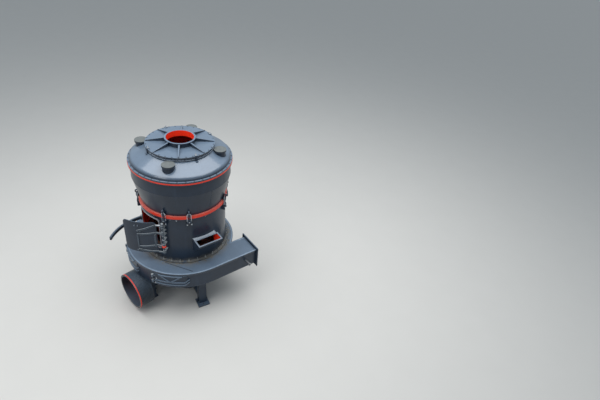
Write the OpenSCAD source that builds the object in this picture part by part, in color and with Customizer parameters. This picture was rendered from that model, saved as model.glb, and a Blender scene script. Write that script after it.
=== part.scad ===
// Vertical ring-and-roller grinding mill with a snail-shell air duct, a flared upper shell
// and a ribbed top cover. Millimetres, Z up, mill axis on Z, lowest feet on z = 0.
// Azimuths are measured from +X, counter-clockwise seen from above; -Y is the front.

/* [Barrel] */
// Outer radius of the barrel, which every other radius of the mill follows
barrel_r = 1075; // [1060:1:1085]
// Thickness of the barrel wall
barrel_t = 20; // [12:1:22]
// Height of the barrel over its foot flange
barrel_h = 1355; // [1335:5:1400]
// How far the foot flange stands out past the barrel
foot_flange_out = 85; // [70:5:100]
// Thickness of the foot flange
foot_flange_t = 40; // [30:1:60]
// How far the two clamped flanges over the barrel stand out past it
mid_flange_out = 35; // [28:1:45]
// Thickness of each of them
mid_flange_t = 50; // [40:1:60]
// Radial width of the grinding ring inside the barrel
ring_w = 190; // [180:1:200]
// Height of the grinding ring
ring_h = 280; // [270:5:300]

/* [Base] */
// How far the bed ring stays inside the duct's tongue
bed_in = 25; // [10:5:40]
// Radial width of the bed ring
bed_w = 250; // [220:10:280]
// Thickness of the bed ring
bed_t = 100; // [60:5:140]
// Number of legs
leg_count = 4; // [4]
// Azimuth of the first leg
leg_azimuth = -74; // [-78:1:-72]
// Side of the square legs
leg_w = 200; // [160:10:220]
// Side of the square foot plates
foot_w = 320; // [300:10:330]
// How far the middle of a foot plate lies outside the middle of its leg
foot_shift = 50; // [30:5:60]
// Thickness of the foot plates
foot_t = 40; // [30:5:60]
// Radius of the anchor bolt holes
anchor_r = 18; // [14:1:22]
// Distance of the anchor holes from the outer edge of the foot plates
anchor_edge = 70; // [50:5:85]
// Height of the top of the floor beams between the gearbox and the legs
beam_h = 160; // [120:10:200]
// Width of the floor beams
beam_w = 120; // [80:10:140]

/* [Drive] */
// Radius of the drive pulley
pulley_r = 500; // [470:5:520]
// Width of the drive pulley
pulley_w = 400; // [340:10:420]
// Gap between the pulley and the floor
pulley_floor_gap = 100; // [80:5:140]
// Gap between the top of the pulley and the underside of the air duct
pulley_duct_gap = 35; // [25:5:60]
// How far the pulley stands out past the duct wall
pulley_out = 262; // [240:1:280]
// Thickness of the pulley rim
pulley_rim = 45; // [30:1:60]
// Depth of the belt grooves
groove_d = 14; // [8:1:20]
// Number of belt grooves
groove_count = 10; // [6:1:12]
// Azimuth of the input shaft
drive_azimuth = -147.5; // [-149:0.5:-146]
// Radius of the input shaft
input_r = 70; // [60:1:80]
// Wall of the housing around the input shaft
housing_wall = 60; // [45:5:75]
// Gap between the end of that housing and the pulley
pulley_gap = 62; // [40:1:80]
// Radius of the gearbox body
gearbox_r = 460; // [430:10:480]
// Height of the boss between the gearbox and the duct floor
boss_h = 175; // [140:5:200]
// Radius of that boss
boss_r = 280; // [250:10:310]
// Radius of the main upright shaft
main_r = 90; // [75:1:110]
// Radial running clearance of every shaft and pin
running = 0.05; // [0.01:0.01:0.1]

/* [Air duct] */
// How far the snail shell stands out past the barrel at the front
volute_out = 475; // [455:5:515]
// How far it stands out past the barrel where it meets the inlet again
tongue_out = 200; // [190:5:220]
// Height of the air duct
volute_h = 480; // [460:5:520]
// Thickness of the duct's plates
duct_plate = 16; // [10:1:20]
// How far the top plate stands out past the wall
lip = 14; // [5:1:30]
// Height of the rolled edge around the top plate
lip_h = 50; // [30:5:60]
// Direction of the inlet, turned from +X
inlet_azimuth = 23.5; // [20:0.5:27]
// Width of the inlet
inlet_w = 615; // [590:5:650]
// Distance of the inlet's mouth from the mill axis
inlet_len = 1312; // [1290:5:1360]
// Width of the flange around the mouth
mouth_w = 80; // [50:5:95]
// Thickness of the flange around the mouth
mouth_t = 28; // [16:1:40]
// How far the ring of air vanes stays inside the barrel
vane_in = 90; // [75:1:100]
// Thickness of the ring of air vanes
vane_t = 45; // [30:1:60]
// Number of air vanes
vane_count = 8; // [8]
// Share of the ring that is open between the vanes
vane_open = 0.62; // [0.4:0.01:0.7]
// Distance of the short tube on the duct wall from the inlet's mouth
stub_in = 330; // [280:10:380]
// Length of the short tube
stub_len = 220; // [150:10:260]
// Outer radius of the short tube
stub_r = 36; // [25:1:45]

/* [Duct hatches] */
// Azimuths of the middle of the two hatches
hatch_azimuths = [-107.5, -160]; // [-161:0.5:-106]
// Width of a hatch opening
hatch_w = 780; // [700:10:800]
// Height of the duct that is left over and under a hatch opening
hatch_margin = 95; // [85:5:110]
// Overlap of the hatch plate over its opening
hatch_lap = 30; // [20:1:40]
// Thickness of the hatch plate
hatch_t = 12; // [8:1:16]
// Gap between a shut hatch and the duct wall
hatch_gap = 5.5; // [5:0.5:8]
// Radius of the hatch pins
hatch_pin_r = 12; // [10:1:16]

/* [Access door] */
// Azimuth of the middle of the door opening
door_azimuth = -145.5; // [-147:0.5:-144]
// Width of the door opening
door_w = 753; // [720:1:770]
// Height of the lower edge of the door opening over the foot flange
door_low = 330; // [310:5:345]
// Height of the barrel that is left over the door opening
door_over = 120; // [110:5:150]
// Corner radius of the door opening
door_corner = 70; // [40:5:100]
// Overlap of the door over its opening
door_lap = 25; // [20:1:30]
// Thickness of the door plate
door_t = 16; // [12:1:20]
// Thickness of the frame around the opening
frame_t = 15; // [10:1:18]
// Gap between the shut door and its frame
door_gap = 5.5; // [5:0.5:8]
// Distance of the hinge pin from the barrel
hinge_out = 125; // [120:1:135]
// Distance of the hinge pin from the door's edge, along the door
hinge_side = 162; // [155:1:175]
// Radius of the hinge pin
hinge_pin_r = 20; // [16:1:24]
// How far the door stands open
door_open = 36.7; // [0:0.1:60]
// Radius of the hinge eyes
eye_r = 38; // [34:1:44]
// Height of the hinge eyes
eye_h = 50; // [40:1:56]
// Thickness of the hinge lugs
lug_t = 24; // [16:1:30]
// Thickness of the straps on the door
strap_t = 18; // [12:1:20]
// Height of the straps on the door
strap_h = 42; // [30:1:50]

/* [Door bar] */
// Azimuth of the pin of the curved door bar
bar_azimuth = 163; // [161:1:165]
// Distance of that pin from the barrel
bar_out = 120; // [117:1:130]
// Angle that the bar spans around the barrel
bar_span = 54; // [50:1:56]
// Radial thickness of the bar
bar_t = 44; // [30:1:48]
// Height of the bar
bar_h = 90; // [70:5:110]
// Height of the middle of the bar over the foot flange
bar_low = 410; // [390:5:440]
// How far the bar stands open
bar_open = 52; // [40:1:60]
// Radius of the bar's pin
bar_pin_r = 16; // [12:1:20]

/* [Feed chute] */
// Azimuth of the middle of the feed chute
chute_azimuth = -66; // [-68:0.5:-64]
// Inner width of the chute
chute_w = 590; // [540:5:620]
// Inner depth of the chute's mouth, along its slope
chute_d = 200; // [180:5:220]
// Thickness of the chute's plates
chute_t = 12; // [8:1:16]
// Width of the frame around the mouth
chute_rim = 34; // [25:1:42]
// Thickness of the frame around the mouth
chute_rim_t = 14; // [10:1:20]
// Slope of the mouth below the level
chute_slope = 4; // [2:1:8]
// Height of the mouth's upper edge over the foot flange
chute_top = 740; // [720:5:760]
// Height of the lower edge of the window in the barrel, over the foot flange
chute_low = 330; // [310:5:350]

/* [Upper shell] */
// How far the shell's lower end stays inside the barrel's outside
shell_step = 13; // [5:1:20]
// How much larger the shell's radius is at its top than at its lower end
shell_flare = 143; // [130:1:155]
// Height of the tapered part
taper_h = 660; // [620:5:700]
// Height of the short cylinder over it
cylinder_h = 330; // [300:5:360]
// Thickness of the shell and of the dome
shell_t = 14; // [10:1:18]
// How far the two rings under the dome stand out past the shell
rim_out = 45; // [35:1:50]
// Thickness of the lower, red ring
red_ring_t = 50; // [40:1:60]
// Thickness of the upper ring, which is the dome's own flange
dome_flange_t = 40; // [30:1:50]
// Number of clamp pairs around the lower flange
clamp_pairs = 4; // [4]
// Azimuth of the middle of the first clamp pair
clamp_azimuth = -101; // [-103:0.5:-99]
// Angle between the two clamps of a pair
clamp_spread = 31; // [28:1:34]

/* [Dome and cover] */
// Radius of the dome's rounded shoulder
shoulder_r = 110; // [80:5:130]
// Slope of the dome
dome_slope = 26; // [23:1:28]
// Radial width of the dome between the shell's outside and the flat land around the neck
dome_w = 445; // [430:5:460]
// Radial width of that land
land_w = 60; // [50:5:70]
// Height of the recessed neck over the land
neck_h = 60; // [50:1:80]
// Wall of the neck
neck_wall = 35; // [20:1:45]
// How far the thin flange around the neck stands out past the land
neck_flange_out = 45; // [30:1:50]
// How far the round cover stands out past the inside of the neck
cover_out = 116; // [100:1:130]
// Thickness of the cover
cover_t = 36; // [25:1:45]
// Inner radius of the outlet collar
outlet_r = 330; // [310:5:345]
// Height of the outlet collar over the cover
outlet_h = 118; // [105:1:140]
// Wall of the outlet collar
outlet_t = 14; // [10:1:20]
// Radial width of the collar's rim
outlet_rim = 26; // [20:1:40]
// Number of ribs on the cover
rib_count = 8; // [8]
// Azimuth of the first rib
rib_azimuth = -95; // [-97:0.5:-93]
// Thickness of a rib
rib_t = 20; // [14:1:24]
// Height of a rib at the collar
rib_high = 98; // [80:1:100]
// Height of a rib at the cover's edge
rib_low = 14; // [8:1:25]
// Azimuth of the first of the four capped ports
port_azimuth = -108; // [-110:1:-106]
// Outer radius of a port's neck
port_r = 130; // [120:1:140]
// How far a port's lid stands out past its neck
lid_out = 22; // [15:1:30]
// Gap between a lid and the neck's flange, and between a lid and the dome
lid_gap = 5; // [3:0.5:10]
// Thickness of a lid
lid_t = 30; // [20:1:40]

/* [Grinding rotor] */
// Number of rollers
roller_count = 4; // [4]
// Radius of a roller
roller_r = 215; // [205:1:220]
// Height of a roller
roller_h = 240; // [220:5:250]
// Gap between a roller and the grinding ring
roller_gap = 8; // [7:1:12]
// Radius of a roller's shaft
roller_shaft_r = 50; // [40:1:60]
// Outer radius of a roller hanger
hanger_r = 95; // [85:1:105]
// Radius of the rotor's hub
hub_r = 260; // [230:5:280]
// Height of the rotor's hub
hub_h = 260; // [240:5:280]
// Height of the underside of the hub over the barrel's foot flange
hub_up = 800; // [780:5:820]
// Radius of the fixed pillar that carries the main shaft
pillar_r = 200; // [180:5:220]
// Azimuth of the first roller
roller_azimuth = -133; // [-138:1:-128]

/* [Hidden] */
$fn = 192;

body_color = "#39434f";
pale_color = "#4b5665";
red_color = "#d9341f";
// Longer than any size of the mill
far = 4000;
// Cuts run this far past the faces that they open
past = 1;
// Gap that keeps two turned plates from cutting into each other where they meet
seat = 0.05;
ring_fit = 2;

drive_z = pulley_floor_gap + pulley_r;
volute_z = drive_z + pulley_r + pulley_duct_gap;
gearbox_h = volute_z - boss_h;
duct_top_z = volute_z + volute_h;
floor_top_z = volute_z + duct_plate;
wall_top_z = duct_top_z - duct_plate;
deck_z = duct_top_z + foot_flange_t;
barrel_top_z = deck_z + barrel_h;
shell_z = barrel_top_z + 2 * mid_flange_t;
crease_z = shell_z + taper_h;
shell_top_z = crease_z + cylinder_h;
dome_z = shell_top_z + red_ring_t + dome_flange_t;

barrel_in = barrel_r - barrel_t;
mid_flange_r = barrel_r + mid_flange_out;
volute_r = barrel_r + volute_out;
tongue_r = barrel_r + tongue_out;
inlet_inner = volute_r - inlet_w;
shell_low_r = barrel_r - shell_step;
shell_r = shell_low_r + shell_flare;
rim_r = shell_r + rim_out;
dome_edge = shell_r - dome_w;
neck_r = dome_edge - land_w;

shoulder_at = shell_r - shoulder_r;
slope_start = [shoulder_at + shoulder_r * sin(dome_slope), dome_z + shoulder_r * cos(dome_slope)];
function dome_height(r) = slope_start[1] + (slope_start[0] - r) * tan(dome_slope);
dome_top_z = dome_height(dome_edge);
cover_z = dome_top_z + neck_h;
cover_top_z = cover_z + cover_t;

// A tube standing on the plane z = low
module tube(outer, inner, low, high) {
    translate([0, 0, low])
        difference() {
            cylinder(r = outer, h = high - low);
            translate([0, 0, -past]) cylinder(r = inner, h = high - low + 2 * past);
        }
}

// A wedge from the mill axis outward, between two azimuths less than 180 degrees apart
module wedge(from, to, low, high) {
    middle = (from + to) / 2;
    translate([0, 0, low])
        linear_extrude(high - low)
            polygon([[0, 0], far * [cos(from), sin(from)],
                far / cos((to - from) / 2) * [cos(middle), sin(middle)], far * [cos(to), sin(to)]]);
}

// A rectangle with round corners, centred on the origin
module rounded(w, h, r) {
    square([w, h - 2 * r], center = true);
    square([w - 2 * r, h], center = true);
    for (x = [-1, 1], y = [-1, 1])
        translate([x * (w / 2 - r), y * (h / 2 - r)]) circle(r = r, $fn = 48);
}

// Extrudes a flat shape outward from the mill axis: its x runs around the mill, its y upward
module radially(azimuth, z, from = 0, to = far) {
    rotate(azimuth) translate([from, 0, z]) rotate([90, 0, 90]) linear_extrude(to - from) children();
}

// Lays its children's Z along the input shaft, from a distance off the mill axis
module on_drive(at) {
    rotate(drive_azimuth) translate([at, 0, drive_z]) rotate([0, 90, 0]) children();
}

// Points on an arc about [x, 0], from one azimuth down to another
arc_step = 3;
function arc(x, r, from, to) =
    let (steps = ceil((from - to) / arc_step))
    [for (i = [0 : steps]) let (a = from + (to - from) * i / steps) [x + r * cos(a), r * sin(a)]];
function turned(p, a) = [p[0] * cos(a) - p[1] * sin(a), p[0] * sin(a) + p[1] * cos(a)];

// The outline of the snail shell, d wider all round: outer wall, front, back, tongue, inner wall
back_r = (volute_r + tongue_r) / 2;
module volute_outline(d, mouth = inlet_len) {
    inner = inlet_inner - d;
    meet = [sqrt((tongue_r + d) * (tongue_r + d) - inner * inner), -inner];
    polygon(concat(
        [turned([mouth, -volute_r - d], inlet_azimuth)],
        arc(0, volute_r + d, inlet_azimuth - 90, -180),
        arc(tongue_r - back_r, back_r + d, 180 - arc_step, 0),
        arc(0, tongue_r + d, -arc_step, inlet_azimuth + atan2(meet[1], meet[0])),
        [turned([mouth, -inner], inlet_azimuth)]));
}

// Base: bed ring on four legs, floor beams to the plate under the gearbox, and the feet
bed_r = tongue_r - bed_in;
bed_z = volute_z - bed_t;
leg_at = bed_r - bed_w / 2;
foot_edge = leg_at + foot_shift + foot_w / 2;
bed_plate_r = gearbox_r + 80;
beam_joint = 20;
module leg_places() {
    for (i = [0 : leg_count - 1]) rotate(leg_azimuth + i * 360 / leg_count) children();
}
module base_frame() color(body_color) {
    beam_from = bed_plate_r - beam_joint;
    tube(bed_r, bed_r - bed_w, bed_z, volute_z);
    leg_places() {
        translate([leg_at - leg_w / 2, -leg_w / 2, 0]) cube([leg_w, leg_w, bed_z]);
        translate([beam_from, -beam_w / 2, foot_t])
            cube([leg_at - leg_w / 2 + beam_joint - beam_from, beam_w, beam_h - foot_t]);
        difference() {
            translate([foot_edge - foot_w, -foot_w / 2, 0]) cube([foot_w, foot_w, foot_t]);
            translate([foot_edge - anchor_edge, 0, -past]) cylinder(r = anchor_r, h = foot_t + 2 * past);
        }
    }
    cylinder(r = bed_plate_r, h = foot_t);
}

// Gearbox: a closed housing with a bore for each shaft
gearbox_foot_r = bed_plate_r - 30;
gearbox_foot_t = 35;
gearbox_rim = 45;
gearbox_rim_t = 60;
snout_end = gearbox_r + 90;
snout_r = input_r + housing_wall + 70;
input_end = main_r + 70;
main_low = drive_z - 270;
shaft_end_gap = 10;
module gearbox() color(body_color) {
    difference() {
        union() {
            translate([0, 0, foot_t]) cylinder(r = gearbox_r, h = gearbox_h - foot_t);
            translate([0, 0, foot_t]) cylinder(r = gearbox_foot_r, h = gearbox_foot_t);
            translate([0, 0, gearbox_h - gearbox_rim_t])
                cylinder(r = gearbox_r + gearbox_rim, h = gearbox_rim_t);
            on_drive(0) cylinder(r = snout_r, h = snout_end);
        }
        translate([0, 0, main_low - shaft_end_gap]) cylinder(r = main_r + running, h = far);
        on_drive(input_end - shaft_end_gap) cylinder(r = input_r + running, h = far);
    }
}

// Housing around the input shaft, with a flange at each end, and the stand that carries it
pulley_face = volute_r + pulley_out;
pulley_back = pulley_face - pulley_w;
housing_r = input_r + housing_wall;
housing_end = pulley_back - pulley_gap;
housing_flange = 60;
housing_flange_t = 35;
housing_collar = 25;
housing_collar_t = 60;
module shaft_housing() color(body_color) {
    long = housing_end - snout_end;
    on_drive(snout_end)
        difference() {
            union() {
                cylinder(r = housing_r, h = long);
                cylinder(r = housing_r + housing_flange, h = housing_flange_t);
                translate([0, 0, long - housing_collar_t])
                    cylinder(r = housing_r + housing_collar, h = housing_collar_t);
            }
            translate([0, 0, -past]) cylinder(r = input_r + running, h = far);
        }
}

stand_at = housing_end - 130;
stand_t = 110;
stand_w = 240;
stand_foot = 200;
module housing_stand() color(body_color) {
    difference() {
        rotate(drive_azimuth) {
            translate([stand_at - stand_t / 2, -stand_w / 2, 0]) cube([stand_t, stand_w, drive_z]);
            translate([stand_at - stand_foot / 2, -stand_w / 2, 0]) cube([stand_foot, stand_w, foot_t]);
        }
        on_drive(0) cylinder(r = housing_r, h = far);
    }
}

// Input shaft with its belt pulley: a grooved rim on a holed web with a hub
hub_from = 20;
hub_long = 190;
web_from = 90;
web_t = 30;
shaft_in_hub = 130;
groove_margin = 30;
pulley_hub_r = input_r + 55;
web_holes = 6;
web_hole_r = 85;
module input_shaft() color("silver") {
    on_drive(input_end) cylinder(r = input_r, h = pulley_back + shaft_in_hub - input_end);
}

module drive_pulley() color(body_color) {
    pitch = (pulley_w - 2 * groove_margin) / groove_count;
    on_drive(pulley_back)
        rotate_extrude()
            polygon(concat([[pulley_r - pulley_rim, 0], [pulley_r, 0]],
                [for (i = [0 : groove_count - 1], k = [0 : 3])
                    [pulley_r - (k == 1 || k == 2 ? groove_d : 0),
                        groove_margin + (i + (k + 0.5) / 4) * pitch]],
                [[pulley_r, pulley_w], [pulley_r - pulley_rim, pulley_w]]));
}

module pulley_web() color(body_color) {
    on_drive(pulley_back)
        difference() {
            union() {
                translate([0, 0, web_from]) cylinder(r = pulley_r - pulley_rim, h = web_t);
                translate([0, 0, hub_from]) cylinder(r = pulley_hub_r, h = hub_long);
            }
            cylinder(r = input_r, h = shaft_in_hub);
            for (i = [0 : web_holes - 1])
                rotate(i * 360 / web_holes)
                    translate([(pulley_hub_r + pulley_r - pulley_rim) / 2, 0, web_from - past])
                        cylinder(r = web_hole_r, h = web_t + 2 * past);
        }
}

// Air duct: floor, wall, top, mouth flange, short tube and the ring of vanes
floor_gap = 1;
module duct_floor() color(body_color) {
    translate([0, 0, volute_z])
        difference() {
            linear_extrude(duct_plate) volute_outline(0);
            translate([0, 0, -past]) cylinder(r = pillar_r + floor_gap, h = duct_plate + 2 * past);
        }
}

hatch_z = (floor_top_z + wall_top_z) / 2;
hatch_h = volute_h - 2 * hatch_margin;
hatch_corner = 30;
module hatch_plate(grow, from, to) {
    rounded_w = hatch_w + 2 * grow;
    rounded_h = hatch_h + 2 * grow;
    translate([from, 0, hatch_z]) rotate([90, 0, 90])
        linear_extrude(to - from) rounded(rounded_w, rounded_h, hatch_corner);
}

module duct_wall() color(body_color) {
    difference() {
        translate([0, 0, floor_top_z]) linear_extrude(wall_top_z - floor_top_z)
            difference() {
                volute_outline(0);
                volute_outline(-duct_plate, inlet_len + past);
            }
        for (a = hatch_azimuths) rotate(a) hatch_plate(0, volute_r / 2, far);
    }
}

module duct_top() color(pale_color) {
    difference() {
        translate([0, 0, duct_top_z - lip_h]) linear_extrude(lip_h) volute_outline(lip);
        translate([0, 0, duct_top_z - lip_h - past])
            linear_extrude(lip_h - duct_plate + past) volute_outline(seat, inlet_len + past);
        translate([0, 0, wall_top_z - past]) cylinder(r = vane_r, h = duct_plate + 2 * past);
    }
}

module inlet_flange() color(body_color) {
    rotate(inlet_azimuth)
        translate([inlet_len + seat, -(volute_r + inlet_inner) / 2, volute_z + volute_h / 2])
            rotate([90, 0, 90])
                linear_extrude(mouth_t)
                    difference() {
                        square([inlet_w + 2 * mouth_w, volute_h + 2 * mouth_w], center = true);
                        square([inlet_w - 2 * duct_plate, volute_h - 2 * duct_plate], center = true);
                    }
}

stub_wall = 6;
stub_rim = 10;
stub_rim_t = 22;
stub_height = 0.55;
module wall_stub() color("#aab0b6") {
    rotate(inlet_azimuth)
        translate([inlet_len - stub_in, -volute_r, volute_z + volute_h * stub_height]) rotate([90, 0, 0])
            difference() {
                union() {
                    cylinder(r = stub_r, h = stub_len);
                    translate([0, 0, stub_len - stub_rim_t])
                        cylinder(r = stub_r + stub_rim, h = stub_rim_t);
                }
                translate([0, 0, -past]) cylinder(r = stub_r - stub_wall, h = stub_len + 2 * past);
            }
}

vane_r = barrel_r - vane_in;
vane_sill = 40;
module vane_ring() color(red_color) {
    open_w = 2 * vane_r * sin(vane_open * 180 / vane_count);
    difference() {
        tube(vane_r, vane_r - vane_t, floor_top_z, duct_top_z);
        for (i = [0 : vane_count - 1])
            radially((i + 0.5) * 360 / vane_count, floor_top_z + vane_sill, vane_r / 2, vane_r + far)
                translate([-open_w / 2, 0]) square([open_w, wall_top_z - floor_top_z - 2 * vane_sill]);
    }
}

// Hatches on the duct wall: a curved plate with crossed straps on a pin at its clockwise end
hatch_in = volute_r + hatch_gap;
hatch_out = hatch_in + hatch_t;
hatch_eye_r = 26;
hatch_eye_h = 44;
hatch_pin_at = volute_r + hatch_eye_r + 16;
hatch_pin_side = 45;
hatch_pin_turn = -asin((hatch_w / 2 + hatch_lap + hatch_pin_side) / hatch_pin_at);
hatch_pin = hatch_pin_at * [cos(hatch_pin_turn), sin(hatch_pin_turn)];
hatch_strap_t = 16;
hatch_strap_h = 30;
hatch_brace_in = 90;
hatch_rail_in = [-10, 20];
hatch_rail_down = [45, 135];
hatch_kick = 105;
hatch_eye_z = [-hatch_h / 2 + 50, hatch_h / 2 - 50];
hatch_link = [22, 90];
// A straight strip between two points
module strip(from, to, w) {
    along = (to - from) / norm(to - from);
    across = w / 2 * [-along[1], along[0]];
    polygon([from + across, from - across, to - across, to + across]);
}
// What is welded on a hatch: a top bar with a V under it, and two rails that kick up at one end
module hatch_straps() {
    brace = [hatch_w / 2 - hatch_brace_in, hatch_h / 2 + hatch_lap - hatch_strap_h / 2];
    strip([-brace[0], brace[1]], brace, hatch_strap_h);
    for (x = [-1, 1])
        strip([x * (brace[0] - hatch_strap_h), brace[1]], [0, -hatch_rail_down[0]], hatch_strap_h);
    for (down = hatch_rail_down) {
        rail_end = [hatch_w / 2 - hatch_rail_in[1], -down];
        strip([hatch_rail_in[0] - hatch_w / 2, -down], rail_end, hatch_strap_h);
        strip(rail_end - hatch_strap_h / 2 * [1, 1], rail_end + hatch_kick * [1, 1], hatch_strap_h);
    }
}
module hatch(azimuth) color(body_color) {
    rotate(azimuth) difference() {
        union() {
            intersection() {
                tube(hatch_out, hatch_in, volute_z, duct_top_z);
                hatch_plate(hatch_lap, volute_r / 2, far);
            }
            intersection() {
                tube(hatch_out + hatch_strap_t, hatch_out - past, volute_z, duct_top_z);
                radially(0, hatch_z, volute_r / 2) hatch_straps();
            }
            difference() {
                for (z = hatch_eye_z)
                    translate([hatch_pin[0], hatch_pin[1], hatch_z + z]) {
                        translate([0, 0, -hatch_eye_h / 2]) cylinder(r = hatch_eye_r, h = hatch_eye_h);
                        translate([-hatch_eye_r, 0, -hatch_strap_h / 2])
                            cube([hatch_link[0], hatch_link[1], hatch_strap_h]);
                    }
                translate([0, 0, volute_z]) cylinder(r = hatch_in, h = volute_h);
            }
        }
        translate([hatch_pin[0], hatch_pin[1], volute_z]) cylinder(r = hatch_pin_r + running, h = volute_h);
    }
}
module hatch_1() hatch(hatch_azimuths[0]);
module hatch_2() hatch(hatch_azimuths[1]);

hatch_lug_t = 14;
hatch_lug_gap = 6;
hatch_lug_root = 30;
hatch_pin_past = 8;
module hatch_lugs() color(body_color) {
    outer = hatch_eye_z[1] + hatch_eye_h / 2 + hatch_lug_gap;
    inner = hatch_eye_z[1] - hatch_eye_h / 2 - hatch_lug_gap - hatch_lug_t;
    pin_reach = outer + hatch_lug_t + hatch_pin_past;
    difference() {
        for (a = hatch_azimuths)
            rotate(a + hatch_pin_turn) translate([0, 0, hatch_z]) {
                for (z = [outer, inner, -inner - hatch_lug_t, -outer - hatch_lug_t])
                    translate([0, 0, z]) {
                        translate([hatch_pin_at, 0, 0]) cylinder(r = hatch_eye_r, h = hatch_lug_t);
                        translate([volute_r - hatch_lug_root, -hatch_eye_r, 0])
                            cube([hatch_pin_at - volute_r + hatch_lug_root, 2 * hatch_eye_r, hatch_lug_t]);
                    }
                translate([hatch_pin_at, 0, -pin_reach]) cylinder(r = hatch_pin_r, h = 2 * pin_reach);
            }
        translate([0, 0, volute_z - past]) cylinder(r = volute_r, h = volute_h + 2 * past);
    }
}

// Grinding ring, and the pillar that stands on the gearbox and carries the main shaft
ring_r = barrel_in - ring_fit - ring_w;
module grinding_ring() color("#7a4a3a") {
    tube(barrel_in - ring_fit, ring_r, duct_top_z, duct_top_z + ring_h);
}

hub_z = deck_z + hub_up;
hub_gap = 20;
pillar_flange = 130;
pillar_flange_t = 45;
module centre_pillar() color(red_color) {
    difference() {
        union() {
            translate([0, 0, gearbox_h]) cylinder(r = pillar_r, h = hub_z - hub_gap - gearbox_h);
            translate([0, 0, gearbox_h]) cylinder(r = boss_r, h = boss_h);
            translate([0, 0, floor_top_z]) cylinder(r = pillar_r + pillar_flange, h = pillar_flange_t);
        }
        translate([0, 0, gearbox_h - past]) cylinder(r = main_r + running, h = far);
    }
}

// Rotor: main shaft, hub with its cap, and an arm for each roller hanger
roller_at = ring_r - roller_gap - roller_r;
hanger_block = 2 * hanger_r;
arm_w = 150;
arm_h = 180;
arm_joint = 40;
hub_cap_in = 90;
hub_cap_t = 50;
function roller_turn(i) = roller_azimuth + i * 360 / roller_count;
module rotor_head() color(red_color) {
    arm_long = roller_at - hanger_block / 2 - hub_r + arm_joint;
    translate([0, 0, main_low]) cylinder(r = main_r, h = hub_z + hub_h - main_low);
    translate([0, 0, hub_z]) cylinder(r = hub_r, h = hub_h);
    translate([0, 0, hub_z]) cylinder(r = hub_r - hub_cap_in, h = hub_h + hub_cap_t);
    for (i = [0 : roller_count - 1])
        rotate(roller_turn(i)) translate([hub_r - arm_joint, -arm_w / 2, hub_z + (hub_h - arm_h) / 2])
            cube([arm_long, arm_w, arm_h]);
}

roller_low = duct_top_z + (ring_h - roller_h) / 2 + 8;
roller_hub = 65;
roller_hub_h = 40;
hanger_low = roller_low + roller_h + roller_hub_h + 6;
hanger_top = hub_z + (hub_h + hanger_block) / 2;
hanger_step = 10;
shaft_cap = 45;
shaft_cap_t = 36;
shaft_cap_gap = 5;
module roller_hangers() color(red_color) {
    shaft_low = roller_low - shaft_cap_gap - shaft_cap_t;
    for (i = [0 : roller_count - 1])
        rotate(roller_turn(i)) translate([roller_at, 0, 0]) {
            translate([0, 0, hanger_low]) cylinder(r = hanger_r, h = hanger_top - hanger_low - hanger_step);
            translate([-hanger_block / 2, -hanger_block / 2, hanger_top - hanger_block]) cube(hanger_block);
            translate([0, 0, shaft_low]) cylinder(r = roller_shaft_r, h = hanger_low + past - shaft_low);
            translate([0, 0, shaft_low]) cylinder(r = roller_shaft_r + shaft_cap, h = shaft_cap_t);
        }
}

module roller(i) color("#6d6a66") {
    high = roller_h + roller_hub_h;
    rotate(roller_turn(i)) translate([roller_at, 0, roller_low])
        difference() {
            union() {
                cylinder(r = roller_r, h = roller_h);
                cylinder(r = roller_shaft_r + roller_hub, h = high);
            }
            translate([0, 0, -past]) cylinder(r = roller_shaft_r + running, h = high + 2 * past);
        }
}
module roller_1() roller(0);
module roller_2() roller(1);
module roller_3() roller(2);
module roller_4() roller(3);

// Barrel: wall with its door and feed openings, foot flange and top flange
door_h = barrel_h - door_low - door_over;
door_bottom = deck_z + door_low;
door_top = door_bottom + door_h;
door_mid = (door_bottom + door_top) / 2;
module door_opening(grow = 0) {
    radially(door_azimuth, door_mid, barrel_r / 2)
        rounded(door_w + 2 * grow, door_h + 2 * grow, door_corner + grow);
}

chute_roof = 30;
module chute_window() {
    radially(chute_azimuth, deck_z + chute_low, barrel_r / 2)
        translate([-chute_w / 2, 0]) square([chute_w, chute_top - chute_low - chute_roof]);
}

// What lies inside the barrel's outer face, to be cut from the pieces that are welded on it
module barrel_outside() {
    translate([0, 0, deck_z]) cylinder(r = barrel_r, h = barrel_h);
}

module foot_flange() color(body_color) {
    tube(barrel_r + foot_flange_out, barrel_in, duct_top_z, deck_z);
}

module barrel() color(body_color) {
    difference() {
        tube(barrel_r, barrel_in, deck_z, barrel_top_z);
        door_opening();
        chute_window();
    }
}

module barrel_flange() color(red_color) {
    tube(mid_flange_r, barrel_in, barrel_top_z, barrel_top_z + mid_flange_t);
}

module door_frame() color(body_color) {
    difference() {
        intersection() {
            tube(barrel_r + frame_t, barrel_r, deck_z, barrel_top_z);
            door_opening(door_lap);
        }
        door_opening();
    }
}

// Hinge of the access door: four eyes turn on a pin that six lugs on the barrel carry
hinge_r = barrel_r + hinge_out;
hinge_turn = asin((door_w / 2 + door_lap + hinge_side) / hinge_r);
hinge_azimuth = door_azimuth + hinge_turn;
hinge = hinge_r * [cos(hinge_azimuth), sin(hinge_azimuth)];
eye_under_top = 50;
eye_pitch = [240, 210];
lug_gap = 23;
lug_off = (eye_h + lug_t) / 2 + lug_gap;
top_eye_z = door_top - eye_under_top;
eye_z = [top_eye_z, top_eye_z - eye_pitch[0], door_bottom + eye_pitch[1], door_bottom];
lug_z = [eye_z[0] - lug_off, eye_z[1] + lug_off, eye_z[1] - lug_off, (eye_z[1] + eye_z[2]) / 2,
    eye_z[2] + lug_off, eye_z[3] + lug_off];
lug_root = 40;
hinge_head_r = hinge_pin_r + 12;
hinge_head_h = 45;
hinge_head_gap = 6;
module hinge_lug(azimuth, at, z, r, t) {
    rotate(azimuth) translate([0, 0, z - t / 2]) {
        translate([at, 0, 0]) cylinder(r = r, h = t);
        translate([barrel_r - lug_root, -r, 0]) cube([at - barrel_r + lug_root, 2 * r, t]);
    }
}

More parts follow.
